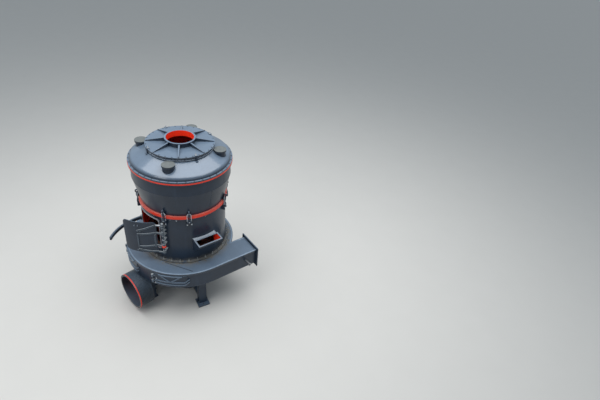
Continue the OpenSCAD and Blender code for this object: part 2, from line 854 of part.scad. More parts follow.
bar_r = barrel_r + bar_out;
bar_mid = deck_z + bar_low;
bar_pin = bar_r * [cos(bar_azimuth), sin(bar_azimuth)];
bar_eye_r = 42;
bar_lug_t = 16;
bar_lug_gap = 6;
bar_pin_past = 10;
module hinge_lugs() color(body_color) {
    bar_lug_off = (bar_h + bar_lug_t) / 2 + bar_lug_gap;
    bar_pin_reach = bar_lug_off + bar_lug_t / 2 + bar_pin_past;
    pin_low = eye_z[3] - eye_h / 2 - hinge_head_gap;
    head_low = eye_z[0] + eye_h / 2 + hinge_head_gap;
    difference() {
        union() {
            for (z = lug_z) hinge_lug(hinge_azimuth, hinge_r, z, eye_r, lug_t);
            translate([hinge[0], hinge[1], pin_low])
                cylinder(r = hinge_pin_r, h = head_low + past - pin_low);
            translate([hinge[0], hinge[1], head_low]) cylinder(r = hinge_head_r, h = hinge_head_h);
            for (s = [-1, 1])
                hinge_lug(bar_azimuth, bar_r, bar_mid + s * bar_lug_off, bar_eye_r, bar_lug_t);
            translate([bar_pin[0], bar_pin[1], bar_mid - bar_pin_reach])
                cylinder(r = bar_pin_r, h = 2 * bar_pin_reach);
        }
        barrel_outside();
    }
}

// Turns its children from the shut door to the door as it stands
module door_swing() {
    translate([hinge[0], hinge[1], 0]) rotate(door_open) translate([-hinge[0], -hinge[1], 0]) children();
}

door_in = barrel_r + frame_t + door_gap;
door_out = door_in + door_t;
module access_door() color(body_color) {
    door_swing() intersection() {
        tube(door_out, door_in, deck_z, barrel_top_z);
        door_opening(door_lap);
    }
}

// Straps: each runs from a far end on the door to its eye, and two uprights tie the middle two
strap_far_z = [door_top - 245, door_top - 350, door_bottom + 160, door_bottom + 70];
strap_far = 60;
strap_edge = 10;
strap_near = door_w / 2 + door_lap - strap_edge;
upright_w = 32;
upright_in = 45;
link_in = 6;
link_reach = [24, 10];
module door_straps() color(body_color) {
    pin = hinge_r * [cos(hinge_turn), sin(hinge_turn)];
    edge_x = sqrt(door_out * door_out - strap_near * strap_near);
    door_swing() rotate(door_azimuth)
        difference() {
            union() {
                intersection() {
                    tube(door_out + strap_t, door_out, deck_z, barrel_top_z);
                    radially(0, 0, barrel_r / 2)
                        for (i = [0 : len(eye_z) - 1])
                            polygon([[-strap_far, strap_far_z[i] - strap_h / 2],
                                [strap_near, eye_z[i] - strap_h / 2],
                                [strap_near, eye_z[i] + strap_h / 2],
                                [-strap_far, strap_far_z[i] + strap_h / 2]]);
                }
                intersection() {
                    tube(door_out + strap_t, door_out, strap_far_z[2], strap_far_z[1]);
                    radially(0, 0, barrel_r / 2)
                        for (x = [-strap_far, strap_near - upright_in])
                            translate([x, 0]) square([upright_w, far]);
                }
                for (z = eye_z) {
                    translate([pin[0], pin[1], z - eye_h / 2]) cylinder(r = eye_r, h = eye_h);
                    translate([0, 0, z - strap_h / 2])
                        linear_extrude(strap_h)
                            polygon([[edge_x, strap_near - link_in],
                                [edge_x + strap_t, strap_near - link_in],
                                [pin[0] + link_reach[0], pin[1]], [pin[0] - link_reach[1], pin[1]]]);
                }
            }
            translate([pin[0], pin[1], deck_z]) cylinder(r = hinge_pin_r + running, h = barrel_h);
            translate([0, 0, deck_z]) cylinder(r = door_out + seat, h = barrel_h);
        }
}

// Curved bar that swings over the shut door
module door_bar() color(body_color) {
    translate([bar_pin[0], bar_pin[1], 0]) rotate(-bar_open) translate([-bar_pin[0], -bar_pin[1], 0])
        difference() {
            union() {
                intersection() {
                    tube(bar_r + bar_t / 2, bar_r - bar_t / 2, bar_mid - bar_h / 2, bar_mid + bar_h / 2);
                    wedge(bar_azimuth + past, bar_azimuth + bar_span, 0, far);
                }
                translate([bar_pin[0], bar_pin[1], bar_mid - bar_h / 2]) cylinder(r = bar_eye_r, h = bar_h);
            }
            translate([bar_pin[0], bar_pin[1], deck_z]) cylinder(r = bar_pin_r + running, h = barrel_h);
        }
}

// Feed chute: a hopper whose mouth faces up and outward
chute_throat = 130;
chute_drop = 60;
chute_root = 60;
chute_mouth_in = barrel_r + chute_throat;
chute_mouth_z = deck_z + chute_top;
chute_mouth_out = chute_mouth_in + chute_d * cos(chute_slope);
chute_lip_z = chute_mouth_z - chute_d * sin(chute_slope);
chute_toe_z = deck_z + chute_low;
// Side view of the chute, x outward and y upward, d wider all round; its mouth runs on by open
module chute_side(d, open = 0) {
    mouth = [cos(chute_slope), -sin(chute_slope)];
    out = [sin(chute_slope), cos(chute_slope)];
    upper = [chute_mouth_in, chute_mouth_z] - d * mouth + open * out;
    lower = [chute_mouth_out, chute_lip_z] + d * mouth + open * out;
    roof_z = chute_mouth_z - chute_roof + d;
    polygon([[barrel_r - chute_root, roof_z], [barrel_r + past, roof_z], upper, lower,
        [chute_mouth_out + d, chute_lip_z - chute_drop],
        [barrel_r + d, chute_toe_z - d], [barrel_r - chute_root, chute_toe_z - d]]);
}
module chute_block(w, d, open = 0) {
    rotate(chute_azimuth) rotate([90, 0, 0]) translate([0, 0, -w / 2])
        linear_extrude(w) chute_side(d, open);
}
module feed_chute() color(body_color) {
    difference() {
        chute_block(chute_w + 2 * chute_t, chute_t);
        chute_block(chute_w, 0, chute_t + past);
        barrel_outside();
    }
}

module chute_rim_frame() color("#8e98a6") {
    rotate(chute_azimuth)
        translate([(chute_mouth_in + chute_mouth_out) / 2, 0, (chute_mouth_z + chute_lip_z) / 2])
            rotate([0, chute_slope, 0]) translate([0, 0, seat])
                linear_extrude(chute_rim_t)
                    difference() {
                        square([chute_d + 2 * chute_rim, chute_w + 2 * chute_rim], center = true);
                        square([chute_d, chute_w], center = true);
                    }
}

// Upper shell with its lower flange, the red ring over it, and the clamps on the flanges
taper_tilt = atan(shell_flare / taper_h);
function taper_r(up) = shell_low_r + shell_flare * up / taper_h;
flange_in = 30;
module upper_shell() color(body_color) {
    slope_t = shell_t / cos(taper_tilt);
    rotate_extrude()
        polygon([[shell_low_r - slope_t, shell_z], [shell_low_r, shell_z], [shell_r, crease_z],
            [shell_r, shell_top_z], [shell_r - shell_t, shell_top_z], [shell_r - shell_t, crease_z]]);
}

module shell_flange() color(red_color) {
    tube(mid_flange_r, shell_low_r - flange_in, barrel_top_z + mid_flange_t, shell_z);
}

module red_ring() color(red_color) {
    tube(rim_r, shell_r - flange_in, shell_top_z, shell_top_z + red_ring_t);
}

// A clamp: an eye plate on the shell, a rod through a nut, and two splayed legs on the barrel
clamp_up = 190;
clamp_down = 185;
clamp_eye_r = 44;
clamp_hole_r = 20;
clamp_eye_up = clamp_up - clamp_eye_r;
clamp_eye_at = taper_r(clamp_eye_up) + 41;
clamp_plate_t = 26;
clamp_leg_t = 16;
clamp_leg_at = 22;
clamp_splay = 14;
clamp_rod_r = 15;
clamp_rod_gap = 5;
clamp_rod_past = [60, 70];
clamp_nut = [14, 40];
clamp_nut_up = 4;
clamp_rod_at = mid_flange_r + clamp_rod_gap + clamp_rod_r;
clamp_rod_cover = 8;
clamp_reach = clamp_rod_at + clamp_rod_r + clamp_rod_cover;
clamp_tie = [90, 36];
clamp_tie_past = 4;
clamp_tie_low = 70;
module flange_clamp() {
    root = 40;
    plate_reach = max(clamp_reach, clamp_eye_at + clamp_eye_r / 2);
    difference() {
        union() {
            translate([shell_low_r - root, -clamp_plate_t / 2, shell_z])
                cube([plate_reach - shell_low_r + root, clamp_plate_t, clamp_eye_up]);
            translate([clamp_eye_at, clamp_plate_t / 2, shell_z + clamp_eye_up]) rotate([90, 0, 0])
                cylinder(r = clamp_eye_r, h = clamp_plate_t);
            translate([clamp_rod_at, 0, barrel_top_z - clamp_rod_past[0]])
                cylinder(r = clamp_rod_r, h = 2 * mid_flange_t + clamp_rod_past[0] + clamp_rod_past[1]);
            translate([clamp_rod_at, 0, shell_z + clamp_nut_up])
                cylinder(r = clamp_rod_r + clamp_nut[0], h = clamp_nut[1]);
            for (s = [-1, 1])
                translate([barrel_r - root, 0, barrel_top_z]) rotate([s * clamp_splay, 0, 0])
                    translate([0, s * clamp_leg_at - clamp_leg_t / 2, -clamp_down])
                        cube([clamp_reach - barrel_r + root, clamp_leg_t, clamp_down]);
            translate([barrel_r - root, -clamp_tie[0] / 2, barrel_top_z - clamp_tie_low])
                cube([clamp_reach + clamp_tie_past - barrel_r + root, clamp_tie[0], clamp_tie[1]]);
        }
        translate([clamp_eye_at, clamp_plate_t, shell_z + clamp_eye_up]) rotate([90, 0, 0])
            cylinder(r = clamp_hole_r, h = 2 * clamp_plate_t);
    }
}
module flange_clamps() color("#59636f") {
    difference() {
        for (i = [0 : clamp_pairs - 1], s = [-1, 1])
            rotate(clamp_azimuth + i * 360 / clamp_pairs + s * clamp_spread / 2) flange_clamp();
        translate([0, 0, shell_z]) cylinder(r1 = shell_low_r, r2 = shell_r, h = taper_h);
        barrel_outside();
        translate([0, 0, barrel_top_z]) cylinder(r = mid_flange_r, h = 2 * mid_flange_t);
    }
}

// Dome: flange, rounded shoulder and slope, a flat land around the neck, four holes under the ports
shoulder_steps = 8;
dome_flange_in = 4;
function shoulder(r) =
    [for (i = [0 : shoulder_steps]) let (a = i / shoulder_steps * (90 - dome_slope))
        [shoulder_at + r * cos(a), dome_z + r * sin(a)]];
port_wall = 12;
port_at = dome_edge + neck_flange_out + lid_gap + port_r + lid_out;
module port_places() {
    for (i = [0 : 3]) rotate(port_azimuth + i * 90) translate([port_at, 0, 0]) children();
}
module dome() color(pale_color) {
    inner = shoulder(shoulder_r - shell_t);
    inner_edge = dome_top_z - shell_t / cos(dome_slope);
    difference() {
        rotate_extrude()
            polygon(concat(
                [[shell_r - flange_in, dome_z - dome_flange_t],
                    [rim_r - dome_flange_in, dome_z - dome_flange_t], [rim_r - dome_flange_in, dome_z]],
                shoulder(shoulder_r),
                [[dome_edge, dome_top_z], [neck_r, dome_top_z],
                    [neck_r, inner_edge], [dome_edge, inner_edge]],
                [for (i = [len(inner) - 1 : -1 : 0]) inner[i]],
                [[shell_r - flange_in, dome_z]]));
        port_places() translate([0, 0, dome_z]) cylinder(r = port_r - port_wall, h = far);
    }
}

// Capped ports: a lid clears the neck's flange and the dome by the same gap
lid_z = dome_height(port_at - port_r - lid_out) + lid_gap;
module port_necks() color(body_color) {
    difference() {
        port_places() translate([0, 0, dome_z]) cylinder(r = port_r, h = lid_z - dome_z);
        port_places() translate([0, 0, dome_z - past]) cylinder(r = port_r - port_wall, h = far);
        rotate_extrude()
            polygon(concat([[0, shell_top_z], [shell_r, shell_top_z]], shoulder(shoulder_r),
                [[dome_edge, dome_top_z], [0, dome_top_z]]));
    }
}

module port_lids() color("#7d8583") {
    port_places() translate([0, 0, lid_z]) cylinder(r = port_r + lid_out, h = lid_t);
}

// Neck between the dome and the cover, with its thin flange
neck_flange_t = 18;
module dome_neck() color(body_color) {
    rotate_extrude()
        polygon([[neck_r, dome_top_z], [dome_edge + neck_flange_out, dome_top_z],
            [dome_edge + neck_flange_out, dome_top_z + neck_flange_t],
            [neck_r + neck_wall, dome_top_z + neck_flange_t],
            [neck_r + neck_wall, cover_z], [neck_r, cover_z]]);
}

// Round cover with its ribs and the outlet collar
cover_r = neck_r + cover_out;
collar_r = outlet_r + outlet_t;
module cover() color(pale_color) {
    tube(cover_r, collar_r, cover_z, cover_top_z);
}

rib_margin = 12;
rib_joint = 10;
module cover_ribs() color(pale_color) {
    for (i = [0 : rib_count - 1])
        rotate(rib_azimuth + i * 360 / rib_count)
            difference() {
                translate([0, rib_t / 2, cover_top_z]) rotate([90, 0, 0])
                    linear_extrude(rib_t)
                        polygon([[collar_r - rib_joint, 0], [cover_r - rib_margin, 0],
                            [cover_r - rib_margin, rib_low], [collar_r - rib_joint, rib_high]]);
                translate([0, 0, cover_z]) cylinder(r = collar_r, h = far);
            }
}

collar_rim_t = 16;
module outlet_collar() color(red_color) {
    rim_z = cover_top_z + outlet_h;
    rotate_extrude()
        polygon([[outlet_r, cover_z], [collar_r, cover_z], [collar_r, rim_z - collar_rim_t],
            [collar_r + outlet_rim, rim_z - collar_rim_t], [collar_r + outlet_rim, rim_z],
            [outlet_r, rim_z]]);
}

base_frame();
gearbox();
shaft_housing();
housing_stand();
input_shaft();
drive_pulley();
pulley_web();
duct_floor();
duct_wall();
duct_top();
inlet_flange();
wall_stub();
vane_ring();
hatch_1();
hatch_2();
hatch_lugs();
grinding_ring();
centre_pillar();
rotor_head();
roller_hangers();
roller_1();
roller_2();
roller_3();
roller_4();
foot_flange();
barrel();
barrel_flange();
door_frame();
hinge_lugs();
access_door();
door_straps();
door_bar();
feed_chute();
chute_rim_frame();
shell_flange();
upper_shell();
flange_clamps();
red_ring();
dome();
port_necks();
port_lids();
dome_neck();
cover();
cover_ribs();
outlet_collar();
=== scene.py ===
"""Looks of a vertical grinding mill: enamels, castings, bolts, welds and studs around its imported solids."""
import math
import random

import bmesh
import bpy
from mathutils import Matrix, Vector


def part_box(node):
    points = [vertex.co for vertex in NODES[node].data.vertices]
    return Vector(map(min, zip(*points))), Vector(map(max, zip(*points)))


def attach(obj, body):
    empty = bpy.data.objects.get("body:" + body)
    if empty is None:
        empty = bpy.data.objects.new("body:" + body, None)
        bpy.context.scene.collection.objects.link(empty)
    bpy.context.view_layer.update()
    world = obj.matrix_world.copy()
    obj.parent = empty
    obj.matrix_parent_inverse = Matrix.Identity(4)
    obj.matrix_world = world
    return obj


bl_info = {
    "name": "Vertical grinding mill",
    "version": (1, 0, 0),
    "blender": (4, 5, 0),
    "location": "View3D > Sidebar > Mill",
    "description": "Dresses the mill's solids with enamel, fasteners, welds and wear",
    "category": "Object",
}

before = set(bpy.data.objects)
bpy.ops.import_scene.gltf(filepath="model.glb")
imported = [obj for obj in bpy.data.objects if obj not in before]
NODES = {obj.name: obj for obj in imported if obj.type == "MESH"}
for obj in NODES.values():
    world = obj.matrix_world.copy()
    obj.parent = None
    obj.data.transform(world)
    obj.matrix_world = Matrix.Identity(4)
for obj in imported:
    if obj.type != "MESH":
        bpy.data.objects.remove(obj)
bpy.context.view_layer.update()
TAU = 2 * math.pi


def low(name):
    return Vector(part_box(name)[0])


def high(name):
    return Vector(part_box(name)[1])


# Settings
class MillSizes(bpy.types.PropertyGroup):
    """Sizes and counts of the fasteners and trims"""
    cover_bolts: bpy.props.IntProperty(
        name="Cover bolts", description="Bolts around the edge of the round cover", default=32, min=8, max=48)
    dome_bolts: bpy.props.IntProperty(
        name="Dome flange bolts", description="Bolts around the flange under the dome", default=40,
        min=12, max=72)
    foot_studs: bpy.props.IntProperty(
        name="Foot studs", description="Studs around the barrel's foot flange", default=32, min=12, max=60)
    mid_bolts: bpy.props.IntProperty(
        name="Mid flange bolts", description="Bolts through the two red flanges", default=16, min=8, max=48)
    foot_stud_at: bpy.props.FloatProperty(
        name="Foot stud circle", description="Distance of the foot studs from the mill's axis", default=1.118,
        min=1.09, max=1.15, subtype="DISTANCE", unit="LENGTH")
    weld_r: bpy.props.FloatProperty(
        name="Weld bead", description="Radius of a weld bead", default=0.006,
        min=0.003, max=0.012, subtype="DISTANCE", unit="LENGTH")
    lip_r: bpy.props.FloatProperty(
        name="Rolled edge", description="Radius of the rolled edge around the top of the air duct",
        default=0.03, min=0.015, max=0.04, subtype="DISTANCE", unit="LENGTH")
    clods: bpy.props.IntProperty(
        name="Clods", description="Lumps of dry dirt lying around the foot flange", default=420,
        min=0, max=900)


class MillColours(bpy.types.PropertyGroup):
    """Colours of the finishes, as sRGB hex"""
    enamel: bpy.props.StringProperty(
        name="Enamel", description="Slate enamel on the outside", default="#232f3e")
    # Pale sky-blue film on enamel that faces up: mostly a painted sky sheen, partly settled dust. Rubbed
    # edges are made paler towards this colour too.
    sheen_and_dust: bpy.props.StringProperty(
        name="Sky sheen and dust", description="Pale film that dulls enamel facing up", default="#8da2b8")
    signal: bpy.props.StringProperty(
        name="Red enamel", description="Red enamel on rings and inside", default="#e2371d")
    dust: bpy.props.StringProperty(
        name="Dust", description="Dry ground dust caked at the foot", default="#77736a")
    floor: bpy.props.StringProperty(
        name="Floor", description="Pale studio floor", default="#d2d0cb")


def sizes():
    return bpy.context.scene.mill_sizes


def colours():
    return bpy.context.scene.mill_colours


def linear(hex_colour, gain=1.0):
    """An sRGB hex colour as linear RGBA, made lighter or darker by a gain."""
    channels = [int(hex_colour[i:i + 2], 16) / 255 for i in (1, 3, 5)]
    light = [c / 12.92 if c <= 0.04045 else ((c + 0.055) / 1.055) ** 2.4 for c in channels]
    return [min(1, gain * c) for c in light] + [1.0]


# Shader nodes
def add(tree, kind, inputs=None, **settings):
    """Adds a node with its settings; an input given as a socket is linked, any other is set."""
    made = tree.nodes.new("ShaderNode" + kind)
    for key, value in settings.items():
        setattr(made, key, value)
    for key, value in (inputs or {}).items():
        if isinstance(value, bpy.types.NodeSocket):
            tree.links.new(value, made.inputs[key])
        else:
            made.inputs[key].default_value = value
    return made


def ramp(tree, fac, stops):
    """A mask or colour that follows fac through (position, value) stops."""
    made = add(tree, "ValToRGB", {"Fac": fac})
    points = made.color_ramp.elements
    while len(points) < len(stops):
        points.new(1.0)
    for point, (at, value) in zip(points, stops):
        point.position = at
        point.color = value if isinstance(value, (list, tuple)) else (value, value, value, 1)
    return made.outputs["Color"]


def mix(tree, fac, a, b):
    return add(tree, "Mix", {0: fac, 6: a, 7: b}, data_type="RGBA").outputs[2]


def maths(tree, operation, a, b=0.0, clamp=False):
    return add(tree, "Math", {0: a, 1: b}, operation=operation, use_clamp=clamp).outputs[0]


def noise(tree, where, scale, detail=4.0, roughness=0.55):
    return add(tree, "TexNoise", {"Vector": where, "Scale": scale, "Detail": detail,
                                  "Roughness": roughness}).outputs[0]


def start(name):
    """A new material with its tree, its principled shader and the object's own coordinates."""
    material = bpy.data.materials.new(name)
    material.use_nodes = True
    tree = material.node_tree
    tree.nodes.clear()
    shader = add(tree, "BsdfPrincipled")
    output = add(tree, "OutputMaterial")
    tree.links.new(shader.outputs[0], output.inputs[0])
    return material, tree, shader, add(tree, "TexCoord")


def into(tree, shader, **inputs):
    for key, value in inputs.items():
        socket = shader.inputs[key.replace("_", " ")]
        if isinstance(value, bpy.types.NodeSocket):
            tree.links.new(value, socket)
        else:
            socket.default_value = value


def inside_mask(tree, place, centre):
    """1 on faces that look towards centre, or towards the upright line through it where it has no height;
    0 on faces that look away."""
    upright = len(centre) == 2
    out = add(tree, "VectorMath", {0: place.outputs["Object"], 1: (*centre, 0) if upright else tuple(centre)},
              operation="SUBTRACT")
    if upright:
        out = add(tree, "VectorMath", {0: out.outputs[0], 1: (1, 1, 0)}, operation="MULTIPLY")
    unit = add(tree, "VectorMath", {0: out.outputs[0]}, operation="NORMALIZE")
    facing = add(tree, "VectorMath", {0: unit.outputs[0], 1: place.outputs["Normal"]},
                 operation="DOT_PRODUCT")
    return maths(tree, "LESS_THAN", facing.outputs["Value"], -0.35 if upright else -0.1)


def edge_mask(tree, radius):
    """1 along edges, from how far a bevel would turn the surface there."""
    turned_to = add(tree, "Bevel", {"Radius": radius}, samples=6)
    flat = add(tree, "NewGeometry")
    same = add(tree, "VectorMath", {0: turned_to.outputs[0], 1: flat.outputs["Normal"]},
               operation="DOT_PRODUCT")
    return ramp(tree, same.outputs["Value"], ((0.78, 1.0), (0.97, 0.0))), turned_to.outputs[0]


# Materials
def enamel(name, outside, inside=None, centre=(0, 0), sheen_and_dust=0.3, dust_low=None, dust_rise=0.16, dust=0.7,
           rough=0.3, wear=0.35, coat=0.0, below=None, beyond=None, rub=0.5, dust_from=None,
           sheen_film_colour=None):
    """Alkyd enamel sprayed over blasted steel plate: a deep even colour under a wet-looking gloss, a slight
    wave of the plate in its reflections, lighter upright streaks that are painted reflections, a pale film
    where it faces the sky that is mostly a painted sky sheen and partly settled dust, edges rubbed lighter,
    and dirt from the height dust_low upward. Below the height below, slate enamel laps over a red part.
    Further out than beyond, what is welded on is rubbed paler by rub. Further out than dust_from, dirt thins
    out on a level plate."""
    material, tree, shader, place = start(name)
    where = place.outputs["Object"]
    cloud = noise(tree, where, 2.2, 5.0, 0.6)   # 450 mm patches
    # Lighter upright streaks 110 mm apart and 1.1 m long: painted reflections running down the plate
    tall = add(tree, "Mapping", {"Vector": where, "Scale": (9.0, 9.0, 0.9)})
    runs = noise(tree, tall.outputs[0], 1.0)
    grit = noise(tree, where, 85.0, 3.0)   # 12 mm, the least that shows
    patchy = ramp(tree, cloud, ((0.3, 0.0), (0.7, 1.0)))
    colour = mix(tree, patchy, linear(outside, 0.82), linear(outside, 1.16))
    # Painted reflections: the upright streaks lighten the enamel.
    colour = mix(tree, ramp(tree, runs, ((0.55, 0.0), (0.72, 0.3))), colour, linear(outside, 1.7))
    if inside:
        colour = mix(tree, inside_mask(tree, place, centre), colour, linear(inside))
    if below is not None:
        lapped = maths(tree, "LESS_THAN", add(tree, "SeparateXYZ", {0: where}).outputs[2], below)
        colour = mix(tree, lapped, colour, linear(colours().enamel))
    level = add(tree, "VectorMath", {0: where, 1: (1, 1, 0)}, operation="MULTIPLY")
    radius = add(tree, "VectorMath", {0: level.outputs[0]}, operation="LENGTH").outputs["Value"]
    if beyond is not None:
        raised = maths(tree, "GREATER_THAN", radius, beyond)
        colour = mix(tree, maths(tree, "MULTIPLY", raised, rub), colour, linear(colours().sheen_and_dust))
    worn, rounded = edge_mask(tree, 0.007)
    colour = mix(tree, maths(tree, "MULTIPLY", worn, wear), colour, linear(colours().sheen_and_dust))
    up = add(tree, "SeparateXYZ", {0: place.outputs["Normal"]}).outputs[2]
    # Pale film on faces that look up, broken up by cloud and grit: mostly a painted sky sheen, partly settled
    # dust.
    faint = ramp(tree, mix(tree, 0.55, cloud, grit), ((0.3, 0.72), (0.65, 1.0)))
    skyward = ramp(tree, up, ((0.2, 0.0), (0.9, 1.0)))
    film = maths(tree, "MULTIPLY", maths(tree, "MULTIPLY", skyward, faint), sheen_and_dust)
    colour = mix(tree, film, colour, linear(sheen_film_colour or colours().sheen_and_dust))
    matt = maths(tree, "ADD", maths(tree, "MULTIPLY", film, 0.2), maths(tree, "MULTIPLY", grit, 0.1))
    if dust_low is not None or dust_from is not None:
        if dust_low is None:
            along, dust_edge = radius, dust_from
        else:
            along, dust_edge = add(tree, "SeparateXYZ", {0: where}).outputs[2], dust_low
        rise = maths(tree, "DIVIDE", maths(tree, "SUBTRACT", along, dust_edge), dust_rise)
        near = maths(tree, "POWER", maths(tree, "SUBTRACT", 1.0, rise, clamp=True), 1.5)
        patch = noise(tree, where, 7.0, 8.0, 0.7)   # cakes about 140 mm wide with ragged rims
        dirt = maths(tree, "MULTIPLY", maths(tree, "MULTIPLY", near, dust),
                     ramp(tree, patch, ((0.4, 0.1), (0.58, 1.0))))
        soil = mix(tree, grit, linear(colours().dust, 0.45), linear(colours().dust, 1.25))
        colour = mix(tree, dirt, colour, soil)
        matt = maths(tree, "ADD", matt, maths(tree, "MULTIPLY", dirt, 0.5))
    wave = noise(tree, where, 5.0, 2.0)   # plate that is a little out of flat between its stiffeners
    relief = add(tree, "Bump", {"Height": wave, "Distance": 0.006, "Strength": 0.3, "Normal": rounded})
    into(tree, shader, Base_Color=colour, Roughness=maths(tree, "ADD", matt, rough - 0.05, clamp=True),
         IOR=1.42, Coat_Weight=coat, Coat_Roughness=0.12, Normal=relief.outputs[0])
    return material


def casting(name, colour, rust, amount=0.4):
    """Grey cast iron straight from the sand, oiled and handled: dark and grainy, with a thin orange bloom
    of rust."""
    material, tree, shader, place = start(name)
    where = place.outputs["Object"]
    sand = noise(tree, where, 90.0)   # 11 mm, coarser than the real sand so that it shows
    bloom = noise(tree, where, 6.0, 8.0, 0.65)
    mask = maths(tree, "MULTIPLY", ramp(tree, bloom, ((0.42, 0.0), (0.62, 1.0))), amount)
    relief = add(tree, "Bump", {"Height": sand, "Distance": 0.003, "Strength": 0.5})
    iron = mix(tree, sand, linear(colour, 0.6), linear(colour, 1.3))
    into(tree, shader, Base_Color=mix(tree, mask, iron, linear(rust)),
         Roughness=maths(tree, "ADD", maths(tree, "MULTIPLY", mask, 0.35), 0.5), Metallic=0.35,
         Normal=relief.outputs[0])
    return material


def turned(name, colour):
    """Mild steel turned in a lathe and left bright: fine rings that spread its highlight."""
    material, tree, shader, place = start(name)
    rings_seen = noise(tree, place.outputs["Object"], 180.0, 2.0)
    into(tree, shader, Base_Color=mix(tree, rings_seen, linear(colour, 0.75), linear(colour, 1.2)),
         Metallic=1.0, Roughness=maths(tree, "ADD", maths(tree, "MULTIPLY", rings_seen, 0.2), 0.22))
    return material


def plated(name, colour, grime):
    """Zinc-plated steel fasteners: pale grey with a dull sheen, darker where grease and dust sit."""
    material, tree, shader, place = start(name)
    mask = ramp(tree, noise(tree, place.outputs["Object"], 45.0), ((0.45, 0.0), (0.72, 1.0)))
    into(tree, shader, Base_Color=mix(tree, mask, linear(colour), linear(grime)), Metallic=0.55,
         Roughness=maths(tree, "ADD", maths(tree, "MULTIPLY", mask, 0.3), 0.36))
    return material


def dusty(name, under, over):
    """Enamelled plate lids lying flat outdoors: an even grey-green film of settled dust, dark paint at the
    edge."""
    material, tree, shader, place = start(name)
    where = place.outputs["Object"]
    cloud = noise(tree, where, 9.0, 6.0, 0.7)
    grit = noise(tree, where, 95.0, 3.0)
    up = add(tree, "SeparateXYZ", {0: place.outputs["Normal"]}).outputs[2]
    film = maths(tree, "MULTIPLY", ramp(tree, up, ((0.5, 0.03), (0.95, 1.0))),
                 ramp(tree, cloud, ((0.25, 0.6), (0.7, 1.0))))
    relief = add(tree, "Bump", {"Height": grit, "Distance": 0.002, "Strength": 0.4})
    settled = mix(tree, grit, linear(over, 0.62), linear(over, 1.2))
    into(tree, shader, Base_Color=mix(tree, film, linear(under), settled),
         Roughness=maths(tree, "ADD", maths(tree, "MULTIPLY", film, 0.35), 0.4, clamp=True),
         Normal=relief.outputs[0])
    return material


def soil(name, colour):
    """Dry clods of ground ore and mud: matt, crumbly, mottled from dark brown to grey."""
    material, tree, shader, place = start(name)
    where = place.outputs["Object"]
    crumbs = noise(tree, where, 60.0, 6.0, 0.7)
    relief = add(tree, "Bump", {"Height": crumbs, "Distance": 0.004, "Strength": 0.8})
    into(tree, shader, Base_Color=mix(tree, crumbs, linear(colour, 0.4), linear(colour, 1.6)), Roughness=0.95,
         Normal=relief.outputs[0])
    return material


def bead_metal(name, colour):
    """A weld run under the enamel: rippled, and a shade darker than the plate beside it."""
    material, tree, shader, place = start(name)
    ripple = noise(tree, place.outputs["Object"], 130.0, 2.0)
    relief = add(tree, "Bump", {"Height": ripple, "Distance": 0.003, "Strength": 0.6})
    into(tree, shader, Base_Color=mix(tree, ripple, linear(colour, 0.5), linear(colour, 0.95)),
         Roughness=0.34, Normal=relief.outputs[0])
    return material


def paint(node_name, material):
    """Gives a carried-over solid its finish."""
    solid = NODES[node_name]
    solid.data.materials.clear()
    solid.data.materials.append(material)
    for face in solid.data.polygons:
        face.use_smooth = True


# Meshes
FINISH = {}   # materials by name, filled by MILL_OT_finishes


def piece(name, bm, finish, body="frame", bevel=0.0, smooth=30):
    """Turns a bmesh into an object that rides on a body."""
    mesh = bpy.data.meshes.new(name)
    bmesh.ops.recalc_face_normals(bm, faces=bm.faces)
    bm.to_mesh(mesh)
    bm.free()
    made = bpy.data.objects.new(name, mesh)
    bpy.context.scene.collection.objects.link(made)
    mesh.materials.append(FINISH[finish])
    if bevel:
        edge = made.modifiers.new("edges", "BEVEL")
        edge.width = bevel
        edge.segments = 2
        edge.limit_method = "ANGLE"
    mesh.shade_smooth()
    mesh.set_sharp_from_angle(angle=math.radians(smooth))
    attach(made, body)


def polar(azimuth, radius, z=0.0):
    """A point from its azimuth in radians and its distance from the mill's axis."""
    return Vector((radius * math.cos(azimuth), radius * math.sin(azimuth), z))


def frame_at(point, normal, up=(0, 0, 1)):
    """A matrix at point whose Z is normal and whose Y leans to up."""
    z = Vector(normal).normalized()
    x = Vector(up).cross(z)
    if x.length < 1e-5:
        x = Vector((1, 0, 0))
    x.normalize()
    y = z.cross(x)
    return Matrix.Translation(point) @ Matrix((
        (x.x, y.x, z.x, 0), (x.y, y.y, z.y, 0), (x.z, y.z, z.z, 0), (0, 0, 0, 1)))


def skin(bm, loops, closed=False):
    """Faces between loops of as many points each, on to the first loop again or else with both ends shut."""
    for one, two in zip(loops, loops[1:] + loops[:1] if closed else loops[1:]):
        for i in range(len(one)):
            j = (i + 1) % len(one)
            bm.faces.new((one[i], one[j], two[j], two[i]))
    if not closed:
        bm.faces.new(list(reversed(loops[0])))
        bm.faces.new(loops[-1])


def rings(bm, where, levels, sides, spin=0.0):
    """Lofts rings of the given (radius, height) along Z of where, and closes both ends."""
    skin(bm, [[bm.verts.new(where @ Vector((radius * math.cos(spin + TAU * i / sides),
                                            radius * math.sin(spin + TAU * i / sides), height)))
               for i in range(sides)] for radius, height in levels])


def bolt(bm, where, r, stud=0.0, turn=0.0):
    """A washer, a chamfered hexagon and, where stud is given, the thread that stands out of the nut."""
    rings(bm, where, ((r * 1.35, 0), (r * 1.35, r * 0.2)), 16)
    rings(bm, where, ((r, r * 0.2), (r, r * 0.85), (r * 0.82, r)), 6, turn)
    if stud:
        rings(bm, where, ((r * 0.52, r), (r * 0.52, r + stud - 0.003), (r * 0.42, r + stud)), 10)


def bolts(name, places, r, finish="dull", body="frame", stud=0.0):
    """Bolts at (point, normal) places as one piece, each turned its own way."""
    turning = random.Random(name)
    bm = bmesh.new()
    for point, normal in places:
        bolt(bm, frame_at(point, normal), r, stud, turning.uniform(0, TAU))
    piece(name, bm, finish, body)


